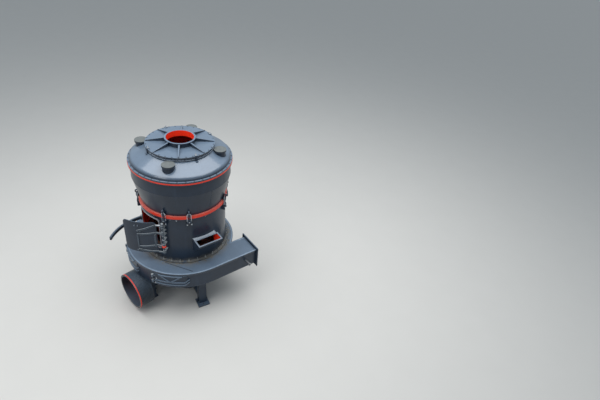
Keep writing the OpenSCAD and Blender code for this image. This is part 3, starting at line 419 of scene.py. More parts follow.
def circle(count, radius, z, normal=(0, 0, 1), first=0.0, skip=()):
    """Places around the mill's axis; skip holds (azimuth, half width) gaps in degrees."""
    found = []
    for i in range(count):
        azimuth = first + TAU * i / count
        if any(abs((math.degrees(azimuth) - gap + 180) % 360 - 180) < half for gap, half in skip):
            continue
        found.append((polar(azimuth, radius, z), normal))
    return found


def tube(bm, points, r, sides=8, uneven=None):
    """A tube along a run of points; uneven, a random source, swells it a little like laid weld metal."""
    closed = (points[0] - points[-1]).length < 1e-6
    points = points[:-1] if closed else points
    loops = []
    for i, point in enumerate(points):
        after = points[(i + 1) % len(points)] if closed or i + 1 < len(points) else point
        before = points[i - 1] if closed or i else point
        where = frame_at(point, after - before)
        size = r * (uneven.uniform(0.85, 1.15) if uneven else 1)
        loops.append([bm.verts.new(where @ Vector((size * math.cos(TAU * k / sides),
                                                   size * math.sin(TAU * k / sides), 0)))
                      for k in range(sides)])
    skin(bm, loops, closed)


def bead(name, runs, share=1.0):
    """Weld beads along runs of points, as one piece; share makes them finer."""
    ripple = random.Random(name)
    bm = bmesh.new()
    for points in runs:
        tube(bm, points, sizes().weld_r * share, 8, ripple)
    piece(name, bm, "weld", smooth=60)


def ring_run(radius, z, count=120):
    return [polar(TAU * i / count, radius, z) for i in range(count)] + [polar(0, radius, z)]


def lathe(bm, where, profile, steps):
    """Revolves a closed (radius, height) profile about Z of where."""
    skin(bm, [[bm.verts.new(where @ Vector((r * math.cos(TAU * i / steps), r * math.sin(TAU * i / steps), h)))
               for r, h in profile] for i in range(steps)], closed=True)


def slab(bm, where, outline, thickness):
    """A flat plate: outline in X and Y of where, thickness along its Z."""
    skin(bm, [[bm.verts.new(where @ Vector((x, y, z))) for x, y in outline] for z in (0, thickness)])


def block(bm, corners):
    """A solid from two loops of as many points each."""
    skin(bm, [[bm.verts.new(p) for p in loop] for loop in corners])


def wrapped(bm, azimuth, radius, line, width, thickness):
    """A strip bent around the mill's axis along a line of (arc length, height), closed where the line
    closes."""
    closed = math.dist(line[0], line[-1]) < 1e-6
    line = line[:-1] if closed else line
    loops = []
    for i, (s, z) in enumerate(line):
        after = line[(i + 1) % len(line)] if closed or i + 1 < len(line) else line[i]
        before = line[i - 1] if closed or i else line[i]
        ds, dz = after[0] - before[0], after[1] - before[1]
        length = math.hypot(ds, dz)
        across = (-dz / length * width / 2, ds / length * width / 2)
        loops.append([bm.verts.new(polar(azimuth + (s + q * across[0]) / radius, radius + depth,
                                         z + q * across[1]))
                      for q, depth in ((-1, 0), (1, 0), (1, thickness), (-1, thickness))])
    skin(bm, loops, closed)


def straight(start_at, end_at, steps=12):
    (s0, z0), (s1, z1) = start_at, end_at
    return [(s0 + (s1 - s0) * i / steps, z0 + (z1 - z0) * i / steps) for i in range(steps + 1)]


def round_rectangle(w, h, r, middle, steps=6):
    """A closed line around a rectangle with round corners, as (arc length, height) pairs."""
    corners = ((1, 1), (-1, 1), (-1, -1), (1, -1))
    line = []
    for turn, (x, y) in enumerate(corners):
        for i in range(steps + 1):
            a = (turn + i / steps) * TAU / 4
            line.append((x * (w / 2 - r) + r * math.cos(a), middle + y * (h / 2 - r) + r * math.sin(a)))
        level = turn % 2 == 0
        x, y = corners[(turn + 1) % 4]
        to = (x * (w / 2 - (r if level else 0)), middle + y * (h / 2 - (0 if level else r)))
        line += straight(line[-1], to)[1:-1]
    return line + [line[0]]


# The solids' own geometry, where a box can't tell it
DRIVE = math.radians(-147.5)
PULLEY_BACK = 1.412   # from the mill's axis to the pulley's back
HINGE_R = 1.2
DOOR_MIDDLE = math.radians(-145.5)
DOOR_W, DOOR_LAP, HINGE_PAST = 0.753, 0.025, 0.162   # opening, door over it, pin past the door's edge
HINGE_AZIMUTH = DOOR_MIDDLE + math.asin((DOOR_W / 2 + DOOR_LAP + HINGE_PAST) / HINGE_R)
HINGE = polar(HINGE_AZIMUTH, HINGE_R)
DOOR_TURN = math.radians(36.7)
DOOR_R, STRAP_T = 1.1115, 0.018
BARREL_R = 1.075
EYE_PITCH = 0.21
BAIL_R, CLAMP_R = 1.126, 1.149
DOME_FLANGE_T, NECK_FLANGE_T = 0.04, 0.018
SHELL_LOW_R = 1.062
SHELL_R = 1.205
TAPER_H = 0.66
CYLINDER_H = 0.33
DUCT_R, TONGUE_R = 1.55, 1.275
HATCH_OUTER = DUCT_R + 0.0055 + 0.012 + 0.016   # over the gap, the hatch and its strap
INLET_TURN = math.radians(23.5)
INLET_INNER, INLET_END = 0.935, 1.312
MOUTH_FACE = 0.0282   # thickness of the flange around the mouth
LEG_FACE = 1.133
DOME_SLOPE = math.radians(26)
SHOULDER_R = 0.11
CLAMPS = [math.radians(-101 + 90 * i + s * 15.5) for i in range(4) for s in (-1, 1)]   # pairs, 31 apart
PORTS = [math.radians(-108 + 90 * i) for i in range(4)]
PORT_AT, PORT_R = 0.962, 0.13
RIBS = [math.radians(-95 + 45 * i) for i in range(8)]
LEGS = [math.radians(-74 + 90 * i) for i in range(4)]
HATCHES = {"hatch_1": ("hatch_front", math.radians(-107.5)), "hatch_2": ("hatch_side", math.radians(-160))}


def turned_axis(pin, angle):
    """Where the mill's axis goes when it is turned about an upright pin: the centre of a swung curved
    plate."""
    return Matrix.Rotation(angle, 2) @ (-pin.xy) + pin.xy


def dome_height(r):
    """Height of the dome's outside at a distance from the mill's axis."""
    base = high("red_ring").z + DOME_FLANGE_T
    corner = SHELL_R - SHOULDER_R
    knee = corner + SHOULDER_R * math.sin(DOME_SLOPE)
    if r > knee:
        return base + math.sqrt(max(0, SHOULDER_R ** 2 - (r - corner) ** 2))
    return base + SHOULDER_R * math.cos(DOME_SLOPE) + (knee - r) * math.tan(DOME_SLOPE)


def arc(x, r, start_at, end_at, step=3):
    """Points of an arc about (x, 0), from one azimuth in degrees down to another."""
    count = math.ceil((start_at - end_at) / step)
    turns = [math.radians(start_at + (end_at - start_at) * i / count) for i in range(count + 1)]
    return [Vector((x + r * math.cos(a), r * math.sin(a))) for a in turns]


def duct_line(d):
    """The snail shell's outline from mouth to mouth, d outside its walls."""
    inlet = math.degrees(INLET_TURN)
    turn = Matrix.Rotation(INLET_TURN, 2)
    inner = INLET_INNER - d
    back = (DUCT_R + TONGUE_R) / 2
    meet = inlet + math.degrees(math.atan2(-inner, math.sqrt((TONGUE_R + d) ** 2 - inner ** 2)))
    return ([turn @ Vector((INLET_END, -DUCT_R - d))] + arc(0, DUCT_R + d, inlet - 90, -180)
            + arc(TONGUE_R - back, back + d, 177, 0) + arc(0, TONGUE_R + d, -3, meet)
            + [turn @ Vector((INLET_END, -inner))])


class MILL_OT_finishes(bpy.types.Operator):
    """Makes the finishes and paints the carried-over solids"""
    bl_idname = "mill.finishes"
    bl_label = "Finishes"

    def execute(self, context):
        c = colours()
        deck = high("foot_flange").z
        FINISH["body"] = enamel("slate enamel", c.enamel)
        # Dome, cover and ribs: the pale film on them is mostly a painted sky reflection.
        FINISH["top"] = enamel("slate enamel, sky-facing", c.enamel, sheen_and_dust=0.44, rough=0.24, coat=0.8)
        FINISH["shell"] = enamel("slate enamel, red inside", c.enamel, inside=c.signal)
        FINISH["barrel"] = enamel("slate enamel, dirty foot", c.enamel, inside=c.signal, dust_low=deck,
                                  dust_rise=0.12)
        # Duct top: real dust from the foot flange outwards, and the pale film on it is a painted sky
        # reflection.
        FINISH["deck"] = enamel("slate enamel, dusty, painted sheen", c.enamel, sheen_and_dust=0.46, coat=0.4,
                                dust_from=high("foot_flange").x, dust_rise=0.2, dust=0.8)
        FINISH["hatch"] = enamel("slate enamel, rubbed straps", c.enamel, sheen_and_dust=0.55, wear=0.6,
                                 beyond=DUCT_R + 0.0205, rub=0.25)
        FINISH["flange"] = enamel("slate enamel, dirt-caked flange", c.enamel, sheen_and_dust=0.15,
                                  dust_low=deck - 0.01, dust_rise=0.2, dust=0.95, rough=0.4)
        FINISH["red"] = enamel("red enamel", c.signal, sheen_and_dust=0.05, wear=0.1)
        # Warm pale film on the top of the red flange: painted highlight.
        FINISH["shell flange"] = enamel("red enamel, painted sheen on top", c.signal, sheen_and_dust=0.4, wear=0.1,
                                        sheen_film_colour="#c0a59b")
        # Neck flange painted pale all over, with a pale film on top that is a painted highlight; edges
        # rubbed.
        FINISH["neck"] = enamel("pale neck flange, painted sheen, rubbed edges", "#7d8995", sheen_and_dust=1.0, wear=0.8, sheen_film_colour="#a6b4c4")
        # Pale film along the top of the rolled edge: painted highlight.
        FINISH["edge"] = enamel("rolled edge, painted sheen", c.enamel, sheen_and_dust=0.85, coat=0.8)
        FINISH["barrel flange"] = enamel("red enamel, lapped", c.signal, sheen_and_dust=0.05, wear=0.1,
                                         below=low("barrel_flange").z + 0.022)
        FINISH["dome flange"] = enamel("red enamel, lapped above", c.signal, sheen_and_dust=0.05, wear=0.1,
                                       below=low("red_ring").z + 0.016)
        rim = (low("chute_rim_frame") + high("chute_rim_frame")) / 2
        # Inside the chute is a brighter red than the same red enamel elsewhere: painted light falling in. The
        # pale film on top is a painted sky sheen.
        FINISH["chute"] = enamel("slate enamel chute, red inside", c.enamel, inside="#ff4426",
                                 centre=rim - Vector((0, 0, 0.1)), sheen_and_dust=0.95, wear=0.1, sheen_film_colour="#b3bcc6")
        FINISH["door"] = enamel("slate enamel door, red inside", c.enamel, inside=c.signal,
                                centre=turned_axis(HINGE, DOOR_TURN))
        FINISH["bar"] = enamel("slate enamel, bar", "#2b333d", sheen_and_dust=0.3)
        # Pale film on the tops of lugs, straps and frame: painted highlights; edges rubbed.
        FINISH["lug"] = enamel("slate enamel, painted sheen on top, rubbed edges", "#404b56", sheen_and_dust=1.0, wear=0.8, sheen_film_colour="#aab0b3")
        # Inside the collar is a brighter red than the same red enamel elsewhere: painted light on its back
        # wall.
        FINISH["collar"] = enamel("slate collar, red inside", c.enamel, inside="#ff3b20", sheen_and_dust=0.5)
        # Pale film on the tops of the chute's rim, the collar's lip and the door's tabs: painted sky light;
        # edges worn.
        FINISH["rim"] = enamel("grey rim, painted sheen, worn edges", "#46515d", sheen_and_dust=0.6, wear=0.6, sheen_film_colour="#a3afbd")
        FINISH["seal"] = enamel("pale sealing strip", "#b9c0c6", sheen_and_dust=0.3, rough=0.5)
        FINISH["lid"] = dusty("dusty lid", "#2c343d", "#696e6d")
        FINISH["iron"] = casting("raw cast iron", "#4c4a48", "#8a4a26")
        FINISH["pulley"] = enamel("slate enamel on cast iron", "#262d35", sheen_and_dust=0.25, rough=0.34)
        FINISH["steel"] = turned("turned mild steel", "#b9bcc0")
        FINISH["zinc"] = plated("zinc-plated fasteners", "#c3c9ce", "#6b6a66")
        FINISH["dull"] = plated("painted fasteners", "#5b646e", "#30363d")
        FINISH["stud"] = plated("dusty studs", "#a4a8a8", "#6f6b62")
        FINISH["soil"] = soil("dry clods", c.dust)
        FINISH["weld"] = bead_metal("enamelled weld", c.enamel)
        FINISH["hole"] = enamel("shadowed gap", "#0b0d10", sheen_and_dust=0.02, wear=0.0)
        given = {
            "body": "base_frame gearbox shaft_housing housing_stand duct_floor inlet_flange port_necks "
                    "flange_clamps",
            "hatch": "hatch_1 hatch_2",
            "top": "dome cover cover_ribs",
            "shell": "upper_shell duct_wall",
            "chute": "feed_chute",
            "barrel": "barrel",
            "deck": "duct_top",
            "flange": "foot_flange",
            "barrel flange": "barrel_flange",
            "dome flange": "red_ring",
            "shell flange": "shell_flange",
            "red": "centre_pillar rotor_head roller_hangers vane_ring pulley_web",
            "door": "access_door",
            "bar": "door_bar",
            "lug": "hinge_lugs hatch_lugs door_straps door_frame",
            "neck": "dome_neck",
            "collar": "outlet_collar",
            "rim": "chute_rim_frame",
            "lid": "port_lids",
            "iron": "grinding_ring roller_1 roller_2 roller_3 roller_4",
            "pulley": "drive_pulley",
            "steel": "input_shaft wall_stub",
        }
        for finish, names in given.items():
            for name in names.split():
                paint(name, FINISH[finish])
        return {"FINISHED"}


class MILL_OT_cover(bpy.types.Operator):
    """Edge bolts, clamps, rib caps and the collar's lip on the round cover"""
    bl_idname = "mill.cover"
    bl_label = "Cover"

    def execute(self, context):
        top, edge = high("cover").z, high("cover").x
        bolts("cover_bolts", circle(sizes().cover_bolts, edge - 0.024, top, first=0.13), 0.011)
        collar = high("outlet_collar")
        lip = collar.x - 0.009
        bm = bmesh.new()
        tube(bm, ring_run(lip, collar.z - 0.009), 0.009, 10)
        piece("collar_lip", bm, "rim", smooth=60)

        rib_top = high("cover_ribs").z
        ends = ((collar.x - 0.025, rib_top, 0.021), (edge - 0.014, top + 0.014, 0.012))
        bm = bmesh.new()
        for a in RIBS:
            side = polar(a + TAU / 4, 1)
            block(bm, [[polar(a, r, z + up) + side * s * half
                        for s, up in ((-1, 0), (1, 0), (1, 0.005), (-1, 0.005))] for r, z, half in ends])
        piece("rib_caps", bm, "top", bevel=0.0015)

        foot = low("dome_neck").z + NECK_FLANGE_T
        over = top + 0.014
        bm = bmesh.new()
        hooks = []
        for i in range(4):
            a = math.radians(-66 + 90 * i)
            side = polar(a + TAU / 4, 0.028)
            for r0, r1, z0, z1 in ((edge + 0.002, edge + 0.014, foot - 0.04, over),
                                   (edge - 0.05, edge + 0.002, top + 0.0005, over),
                                   (edge + 0.002, edge + 0.05, foot - 0.052, foot - 0.04)):
                around = [polar(a, r, z) for r, z in ((r0, z0), (r1, z0), (r1, z1), (r0, z1))]
                block(bm, [[p - side for p in around], [p + side for p in around]])
            hooks.append((polar(a, edge - 0.022, over), (0, 0, 1)))
        piece("cover_clamps", bm, "body", bevel=0.0015)
        bolts("cover_clamp_bolts", hooks, 0.017, "zinc", stud=0.03)
        return {"FINISHED"}


class MILL_OT_dome(bpy.types.Operator):
    """Flange bolts, port flanges and welds on the dome"""
    bl_idname = "mill.dome"
    bl_label = "Dome"

    def execute(self, context):
        edge = high("dome").x
        flange_z = high("red_ring").z + DOME_FLANGE_T
        bolts("dome_flange_bolts", circle(sizes().dome_bolts, edge - 0.02, flange_z, first=0.05), 0.012)
        bolts("dome_flange_nuts",
              circle(sizes().dome_bolts, edge - 0.02, low("red_ring").z, (0, 0, -1), 0.05),
              0.012, stud=0.01)
        neck = high("dome_neck").x
        neck_top = low("dome_neck").z + NECK_FLANGE_T
        bolts("neck_bolts", circle(24, neck - 0.016, neck_top, first=0.09), 0.008)
        lid_z = low("port_lids").z
        bm = bmesh.new()
        feet = []
        for a in PORTS:
            middle = polar(a, PORT_AT)
            lathe(bm, Matrix.Translation((middle.x, middle.y, lid_z)),
                  ((PORT_R + 0.0005, -0.016), (PORT_R + 0.02, -0.016), (PORT_R + 0.02, -0.002),
                   (PORT_R + 0.0005, -0.002)), 64)
            run = []
            for k in range(61):
                point = middle + polar(TAU * k / 60, PORT_R + 0.002)
                run.append(Vector((point.x, point.y, dome_height(point.length) + 0.003)))
            run[-1] = run[0].copy()
            feet.append(run)
        piece("port_flanges", bm, "body")
        bead("port_welds", feet)
        bead("neck_weld", [ring_run(neck + 0.001, low("dome_neck").z + 0.002)])
        return {"FINISHED"}


class MILL_OT_shell(bpy.types.Operator):
    """Seams and flange bolts on the upper shell and barrel, and the dirt at the barrel's foot"""
    bl_idname = "mill.shell"
    bl_label = "Shell and barrel"

    def execute(self, context):
        crease = high("upper_shell").z - CYLINDER_H
        foot = low("upper_shell").z
        seams = [ring_run(SHELL_R, crease)]
        for azimuth in (-57, 123):
            a = math.radians(azimuth)
            seams.append([polar(a, SHELL_LOW_R + (SHELL_R - SHELL_LOW_R) * k / 24, foot + TAPER_H * k / 24)
                          for k in range(25)])
            seams.append([polar(a + 0.35, SHELL_R, crease + CYLINDER_H * k / 12) for k in range(13)])
        bead("shell_seams", seams, 0.6)
        mid_low = low("barrel_flange").z
        skip = [(math.degrees(a), 6) for a in CLAMPS]
        bolts("mid_flange_nuts",
              circle(sizes().mid_bolts, high("shell_flange").x - 0.014, mid_low, (0, 0, -1), 0.06, skip),
              0.012, "zinc", stud=0.012)
        deck = high("foot_flange").z
        bolts("foot_nuts", circle(sizes().foot_studs, sizes().foot_stud_at, deck, first=0.02),
              0.018, "stud", stud=0.05)
        bead("barrel_weld", [ring_run(BARREL_R + 0.003, deck + 0.002)])

        scatter = random.Random("clods")
        bm = bmesh.new()
        edge = high("foot_flange").x
        for _ in range(sizes().clods):
            on_flange = scatter.random() < 0.4
            r = (scatter.uniform(BARREL_R + 0.012, edge - 0.01) if on_flange
                 else edge + scatter.expovariate(45))
            if r > edge + 0.1:
                continue
            a = scatter.uniform(0, TAU)
            size = scatter.uniform(0.005, 0.013)
            flat = Matrix.Translation(polar(a, r, deck if on_flange else high("duct_top").z))
            squash = Matrix.Diagonal((scatter.uniform(1, 2.2), scatter.uniform(0.8, 1.6),
                                      scatter.uniform(0.5, 0.9), 1))
            made = bmesh.ops.create_icosphere(bm, subdivisions=1, radius=size,
                                              matrix=flat @ Matrix.Rotation(a * 7, 4, "Z") @ squash)
            for vert in made["verts"]:
                vert.co += Vector([scatter.uniform(-1, 1) for _ in range(3)]) * size * 0.28
        piece("dirt_clods", bm, "soil", smooth=80)
        return {"FINISHED"}


class MILL_OT_duct(bpy.types.Operator):
    """Rolled edge, seam, hatch fittings and painted shade of the mouth's bolt holes on the air duct"""
    bl_idname = "mill.duct"
    bl_label = "Air duct"

    def execute(self, context):
        top = high("duct_top").z
        r = sizes().lip_r
        bm = bmesh.new()
        tube(bm, [Vector((p.x, p.y, top - r + 0.004)) for p in duct_line(0.014 - r)], r, 16)
        piece("rolled_edge", bm, "edge", smooth=60)
        bm = bmesh.new()
        for start_at, end_at in (((-0.576, -1.045), (0.10, -1.469)), ((-0.62, 1.0), (-1.19, 0.64))):
            along = Vector((end_at[0] - start_at[0], end_at[1] - start_at[1], 0))
            across = Vector((-along.y, along.x, 0)).normalized() * 0.007
            near = Vector((*start_at, top + 0.0002))
            up = Vector((0, 0, 0.002))
            block(bm, [[at - across, at + across, at + across + up, at - across + up]
                       for at in (near, near + along)])
        piece("duct_joints", bm, "hole")
        for node_name, (body, azimuth) in HATCHES.items():
            middle = (low(node_name).z + high(node_name).z) / 2
            for suffix, finish, spots, r, stud in (
                    ("_bolts", "zinc", ((-0.354, 0.035), (-0.397, -0.135)), 0.013, 0.012),
                    ("_nuts", "dull", ((0.3, 0.16), (-0.28, 0.16), (0, -0.045), (0.3, -0.135)), 0.009, 0)):
                heads = [(polar(azimuth + s / HATCH_OUTER, HATCH_OUTER, middle + z),
                          polar(azimuth + s / HATCH_OUTER, 1)) for s, z in spots]
                bolts(node_name + suffix, heads, r, finish, body, stud)
        inlet = Matrix.Rotation(INLET_TURN, 4, "Z")
        middle_y, middle_z = -(DUCT_R + INLET_INNER) / 2, (low("duct_floor").z + top) / 2
        half_w, half_h = (DUCT_R - INLET_INNER) / 2 + 0.04, 0.28
        places = []
        for i in range(7):
            y = middle_y - half_w + 2 * half_w * i / 6
            places += [(y, middle_z - half_h), (y, middle_z + half_h)]
        for i in range(1, 5):
            z = middle_z - half_h + 2 * half_h * i / 5
            places += [(middle_y - half_w, z), (middle_y + half_w, z)]
        # Dark discs on the mouth's flange: painted shade where its bolt holes are.
        bm = bmesh.new()
        for y, z in places:
            where = inlet @ Matrix.Translation((INLET_END + MOUTH_FACE, y, z))
            rings(bm, where @ Matrix.Rotation(TAU / 4, 4, "Y"), ((0.011, -0.001), (0.011, 0.0002)), 16)
        piece("mouth_hole_shade", bm, "hole")
        return {"FINISHED"}


class MILL_OT_barrel(bpy.types.Operator):
    """Clamp rings and bolts, the door's seal, bolts and tabs, and the pins' caps"""
    bl_idname = "mill.barrel"
    bl_label = "Barrel fittings"

    def execute(self, context):
        mid_low, mid_high = low("barrel_flange").z, high("shell_flange").z
        clamp_bolts, clamp_nuts = [], []
        loops = bmesh.new()
        for a in CLAMPS:
            out = polar(a, 1)
            side = polar(a + TAU / 4, 1)
            clamp_nuts.append((polar(a, BAIL_R + 0.004, mid_high + 0.044), (0, 0, 1)))
            clamp_bolts.append((polar(a, CLAMP_R, mid_low - 0.05), out))
            for t in (-1, 1):
                clamp_bolts.append((polar(a, CLAMP_R, mid_low - 0.115) + side * t * 0.052, out))
            rise, half = mid_high + 0.04, 0.047
            foot = polar(a, BAIL_R, mid_low - 0.03)
            bow = [polar(a, BAIL_R, rise + half * math.sin(TAU * k / 20))
                   + side * half * math.cos(TAU * k / 20) for k in range(11)]
            tube(loops, [foot + side * half] + bow + [foot - side * half], 0.0095, 8)
            rings(loops, Matrix.Translation(polar(a, BAIL_R, rise + 0.05)),
                  ((0.016, 0), (0.016, 0.02), (0.009, 0.03)), 10)
        piece("clamp_bails", loops, "seal", smooth=60)
        bolts("clamp_bolts", clamp_bolts, 0.014, "zinc")
        bolts("clamp_nuts", clamp_nuts, 0.026, stud=0.02)

        frame_box = low("door_frame").z, high("door_frame").z
        door_h = frame_box[1] - frame_box[0] - 0.05
        bm = bmesh.new()
        wrapped(bm, DOOR_MIDDLE, BARREL_R + 0.015,
                round_rectangle(DOOR_W + 0.02, door_h + 0.02, 0.08, sum(frame_box) / 2), 0.02, 0.004)
        piece("door_seal", bm, "seal")
        turn = Matrix.Translation(HINGE) @ Matrix.Rotation(DOOR_TURN, 4, "Z") @ Matrix.Translation(-HINGE)
        outer = DOOR_R + STRAP_T
        bottom, door_top = low("access_door").z + DOOR_LAP, high("access_door").z - DOOR_LAP
        heads = []
        for z in (door_top - 0.245, door_top - 0.35, bottom + 0.16, bottom + 0.07):
            for s in (-0.035, 0.03):
                a = DOOR_MIDDLE + s / outer
                heads.append((turn @ polar(a, outer, z), (turn.to_3x3() @ polar(a, 1))))
        bolts("door_bolts", heads, 0.012, body="door")
        bm = bmesh.new()
        for s, z in ((-0.10, door_top - 0.09), (-0.02, door_top - 0.09), (-0.09, bottom + 0.02)):
            a = DOOR_MIDDLE + s / outer
            where = turn @ frame_at(polar(a, DOOR_R + 0.0001, z), polar(a + TAU / 4, 1))
            slab(bm, where @ Matrix.Rotation(0.5, 4, "Z"),
                 ((-0.022, -0.006), (0.022, -0.006), (0.022, 0.03), (-0.022, 0.03)), 0.01)
        piece("door_tabs", bm, "rim", "door", bevel=0.0015)

        pins = bmesh.new()
        hinge_top = high("hinge_lugs").z
        rings(pins, Matrix.Translation((HINGE.x, HINGE.y, hinge_top - 0.044)),
              ((0.0325, 0), (0.0325, 0.036), (0.026, 0.0439)), 32)
        piece("pin_caps", pins, "dull")
        bolts("flange_nut", [(polar(math.radians(-101), 1.098, mid_low), (0, 0, -1))], 0.02, "zinc",
              stud=0.02)
        bm = bmesh.new()
        near = turn @ polar(DOOR_MIDDLE + 0.35 / outer, outer + 0.006, high("door_straps").z - 0.001)
        toward = Vector((HINGE.x, HINGE.y, near.z)) - near
        tube(bm, [near + toward * 0.3, near + toward * 0.8], 0.018, 12)
        piece("link_bolt", bm, "zinc", "door", smooth=60)
        bm = bmesh.new()
        lathe(bm, Matrix.Translation((HINGE.x, HINGE.y, bottom + EYE_PITCH)),
              ((0.0385, -0.026), (0.052, -0.026), (0.052, 0.0), (0.049, 0.026), (0.0385, 0.026)), 40)
        piece("red_eye", bm, "red", "door")
        return {"FINISHED"}


class MILL_OT_drive(bpy.types.Operator):
    """Pulley hub and its cap, bolts on the shaft housing, and the ribs, cover and bolts of the gearbox"""
    bl_idname = "mill.drive"
    bl_label = "Drive"

    def execute(self, context):
        axle_z = (low("drive_pulley").z + high("drive_pulley").z) / 2
        along = (Matrix.Rotation(DRIVE, 4, "Z") @ Matrix.Translation((0, 0, axle_z))
                 @ Matrix.Rotation(TAU / 4, 4, "Y"))

        def at(radius, turn_at, length):
            return along @ Vector((radius * math.cos(turn_at), radius * math.sin(turn_at), length))
        out = along.to_3x3() @ Vector((0, 0, 1))
        hub, cap = PULLEY_BACK + 0.2102, PULLEY_BACK + 0.226   # faces of the hub and of the cap on it
        rim_r, rim = 0.4995, PULLEY_BACK + 0.3995
        bm = bmesh.new()
        lathe(bm, along, ((0.0701, hub), (0.124, hub), (0.124, hub + 0.0118), (0.0701, cap)), 48)
        rings(bm, along, ((0.064, hub - 0.08), (0.064, hub - 0.0102), (0.058, hub - 0.0042)), 48)
        piece("pulley_hub_cap", bm, "red", "input")
        bm = bmesh.new()
        lathe(bm, along, ((0.456, rim), (rim_r, rim), (rim_r, rim - 0.028), (rim_r + 0.0015, rim - 0.028),
                          (rim_r + 0.0015, rim + 0.0004), (0.456, rim + 0.0004)), 96)
        piece("pulley_edge", bm, "red", "input")
        bolts("pulley_bolts", [(at(0.098, TAU * i / 6, cap), out) for i in range(6)], 0.012, "zinc", "input")
        bolts("housing_bolts", [(at(r, TAU * (i + 0.5) / 8, face), out)
                                for r, face in ((0.14, 1.35), (0.165, 0.585)) for i in range(8)],
              0.014)
        foot, top = 0.075, high("gearbox").z
        bolts("gearbox_bolts", circle(20, 0.482, top, first=0.1) + circle(16, 0.487, foot, first=0.1),
              0.015)
        bm = bmesh.new()
        for i in range(12):
            a = TAU * (i + 0.5) / 12
            if abs((math.degrees(a - DRIVE) + 180) % 360 - 180) > 30:
                where = Matrix.Rotation(a, 4, "Z") @ Matrix.Translation((0.455, 0.008, foot))
                slab(bm, where @ Matrix.Rotation(TAU / 4, 4, "X"),
                     ((0, 0), (0.052, 0), (0.046, 0.2), (0.046, 0.6), (0.035, 0.824), (0, 0.824)), 0.016)
        piece("gearbox_ribs", bm, "body", bevel=0.002)
        bm = bmesh.new()
        a, casing, thick, middle = math.radians(-100), 0.46, 0.012, 0.5
        face = casing + thick
        wrapped(bm, a, casing, straight((-0.09, middle), (0.09, middle)), 0.22, thick)
        piece("gearbox_cover", bm, "body", bevel=0.003)
        bolts("gearbox_cover_bolts", [(polar(a + s / face, face, middle + z), polar(a + s / face, 1))
                                      for s in (-0.07, 0.07) for z in (-0.09, 0, 0.09)],
              0.010, "zinc")
        return {"FINISHED"}


class MILL_OT_base(bpy.types.Operator):
    """Gussets on the legs"""
    bl_idname = "mill.base"
    bl_label = "Base"

    def execute(self, context):
        bm = bmesh.new()
        foot_top, ring_low = 0.04, low("duct_floor").z - 0.1
        for a in LEGS:
            for s in (-1, 1):
                for z, up in ((foot_top, 1), (ring_low, -1)):
                    where = Matrix.Rotation(a, 4, "Z") @ Matrix.Translation((LEG_FACE, s * 0.1, z)) @ Matrix((
                        (0, 0, -1, 0), (s, 0, 0, 0), (0, up, 0, 0), (0, 0, 0, 1)))
                    slab(bm, where, ((0, 0), (0.055, 0), (0.055, 0.02), (0.012, 0.17), (0, 0.17)), 0.016)
        piece("leg_gussets", bm, "body", bevel=0.002)
        return {"FINISHED"}


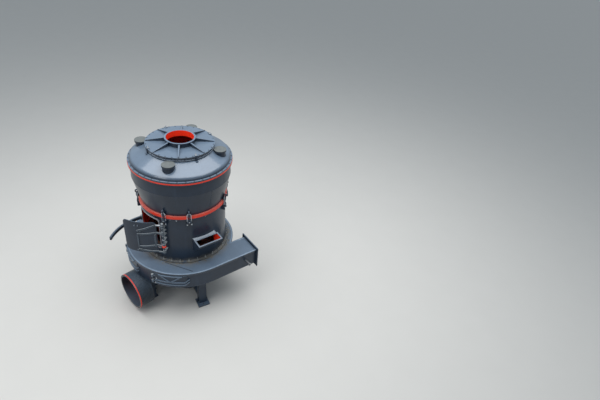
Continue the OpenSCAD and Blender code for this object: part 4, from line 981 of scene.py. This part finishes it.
class MILL_OT_stage(bpy.types.Operator):
    """Floor, soft lamps and the camera at the photograph's place"""
    bl_idname = "mill.stage"
    bl_label = "Stage"

    def execute(self, context):
        material, tree, shader, place = start("pale plaster floor")
        grain = noise(tree, place.outputs["Object"], 1.2, 6.0)
        pale = linear(colours().floor)
        into(tree, shader, Base_Color=mix(tree, grain, linear(colours().floor, 0.96), pale), Roughness=0.9)
        bm = bmesh.new()
        bmesh.ops.create_grid(bm, x_segments=1, y_segments=1, size=300)
        mesh = bpy.data.meshes.new("floor")
        bm.to_mesh(mesh)
        bm.free()
        floor = bpy.data.objects.new("floor", mesh)
        mesh.materials.append(material)
        context.scene.collection.objects.link(floor)

        world = bpy.data.worlds.new("soft sky")
        context.scene.world = world
        world.use_nodes = True
        sky = world.node_tree.nodes["Background"]
        sky.inputs[0].default_value = (0.80, 0.90, 1.0, 1)
        sky.inputs[1].default_value = 0.47
        for name, place_at, aim, size, power in (
                ("overhead", (0.2, -0.5, 13), (0.2, -0.5, 0), (17, 11), 1800),
                ("key", (-9, -8, 11), (0, 0, 2.4), (5, 5), 260)):
            lamp = bpy.data.lights.new(name, "AREA")
            lamp.shape = "RECTANGLE"
            lamp.size, lamp.size_y = size
            lamp.energy = power
            holder = bpy.data.objects.new(name, lamp)
            holder.location = place_at
            holder.rotation_euler = (Vector(aim) - Vector(place_at)).to_track_quat("-Z", "Y").to_euler()
            context.scene.collection.objects.link(holder)

        lens = bpy.data.cameras.new("camera")
        lens.sensor_width = 36
        lens.lens = 415.81 / 600 * 36
        lens.clip_end = 1000
        camera = bpy.data.objects.new("camera", lens)
        yaw, pitch, roll = (math.radians(v) for v in (19.213, 35.507, -7.665))
        ahead = Vector((math.sin(yaw) * math.cos(pitch), math.cos(yaw) * math.cos(pitch), -math.sin(pitch)))
        right = Vector((math.cos(yaw), -math.sin(yaw), 0))
        down = ahead.cross(right)
        right, down = (math.cos(roll) * right + math.sin(roll) * down,
                       -math.sin(roll) * right + math.cos(roll) * down)
        camera.matrix_world = Matrix.Translation((0, -9.253, 9.549)) @ Matrix((
            (right.x, -down.x, -ahead.x, 0), (right.y, -down.y, -ahead.y, 0),
            (right.z, -down.z, -ahead.z, 0), (0, 0, 0, 1)))
        context.scene.collection.objects.link(camera)
        context.scene.camera = camera
        context.scene.view_settings.view_transform = "Standard"
        return {"FINISHED"}


STEPS = (MILL_OT_finishes, MILL_OT_cover, MILL_OT_dome, MILL_OT_shell, MILL_OT_duct, MILL_OT_barrel,
         MILL_OT_drive, MILL_OT_base, MILL_OT_stage)


class MILL_PT_panel(bpy.types.Panel):
    """Lists the mill's steps and settings"""
    bl_idname = "MILL_PT_panel"
    bl_label = "Mill"
    bl_space_type = "VIEW_3D"
    bl_region_type = "UI"
    bl_category = "Mill"

    def draw(self, context):
        for group in (context.scene.mill_sizes, context.scene.mill_colours):
            for name in group.__annotations__:
                self.layout.prop(group, name)
        for step in STEPS:
            self.layout.operator(step.bl_idname)


CLASSES = (MillSizes, MillColours, *STEPS, MILL_PT_panel)


def register():
    for cls in CLASSES:
        bpy.utils.register_class(cls)
    bpy.types.Scene.mill_sizes = bpy.props.PointerProperty(type=MillSizes)
    bpy.types.Scene.mill_colours = bpy.props.PointerProperty(type=MillColours)


def unregister():
    del bpy.types.Scene.mill_colours
    del bpy.types.Scene.mill_sizes
    for cls in reversed(CLASSES):
        bpy.utils.unregister_class(cls)


def main():
    register()
    for step in STEPS:
        group, name = step.bl_idname.split(".")
        getattr(getattr(bpy.ops, group), name)()


if __name__ == "__main__":
    main()
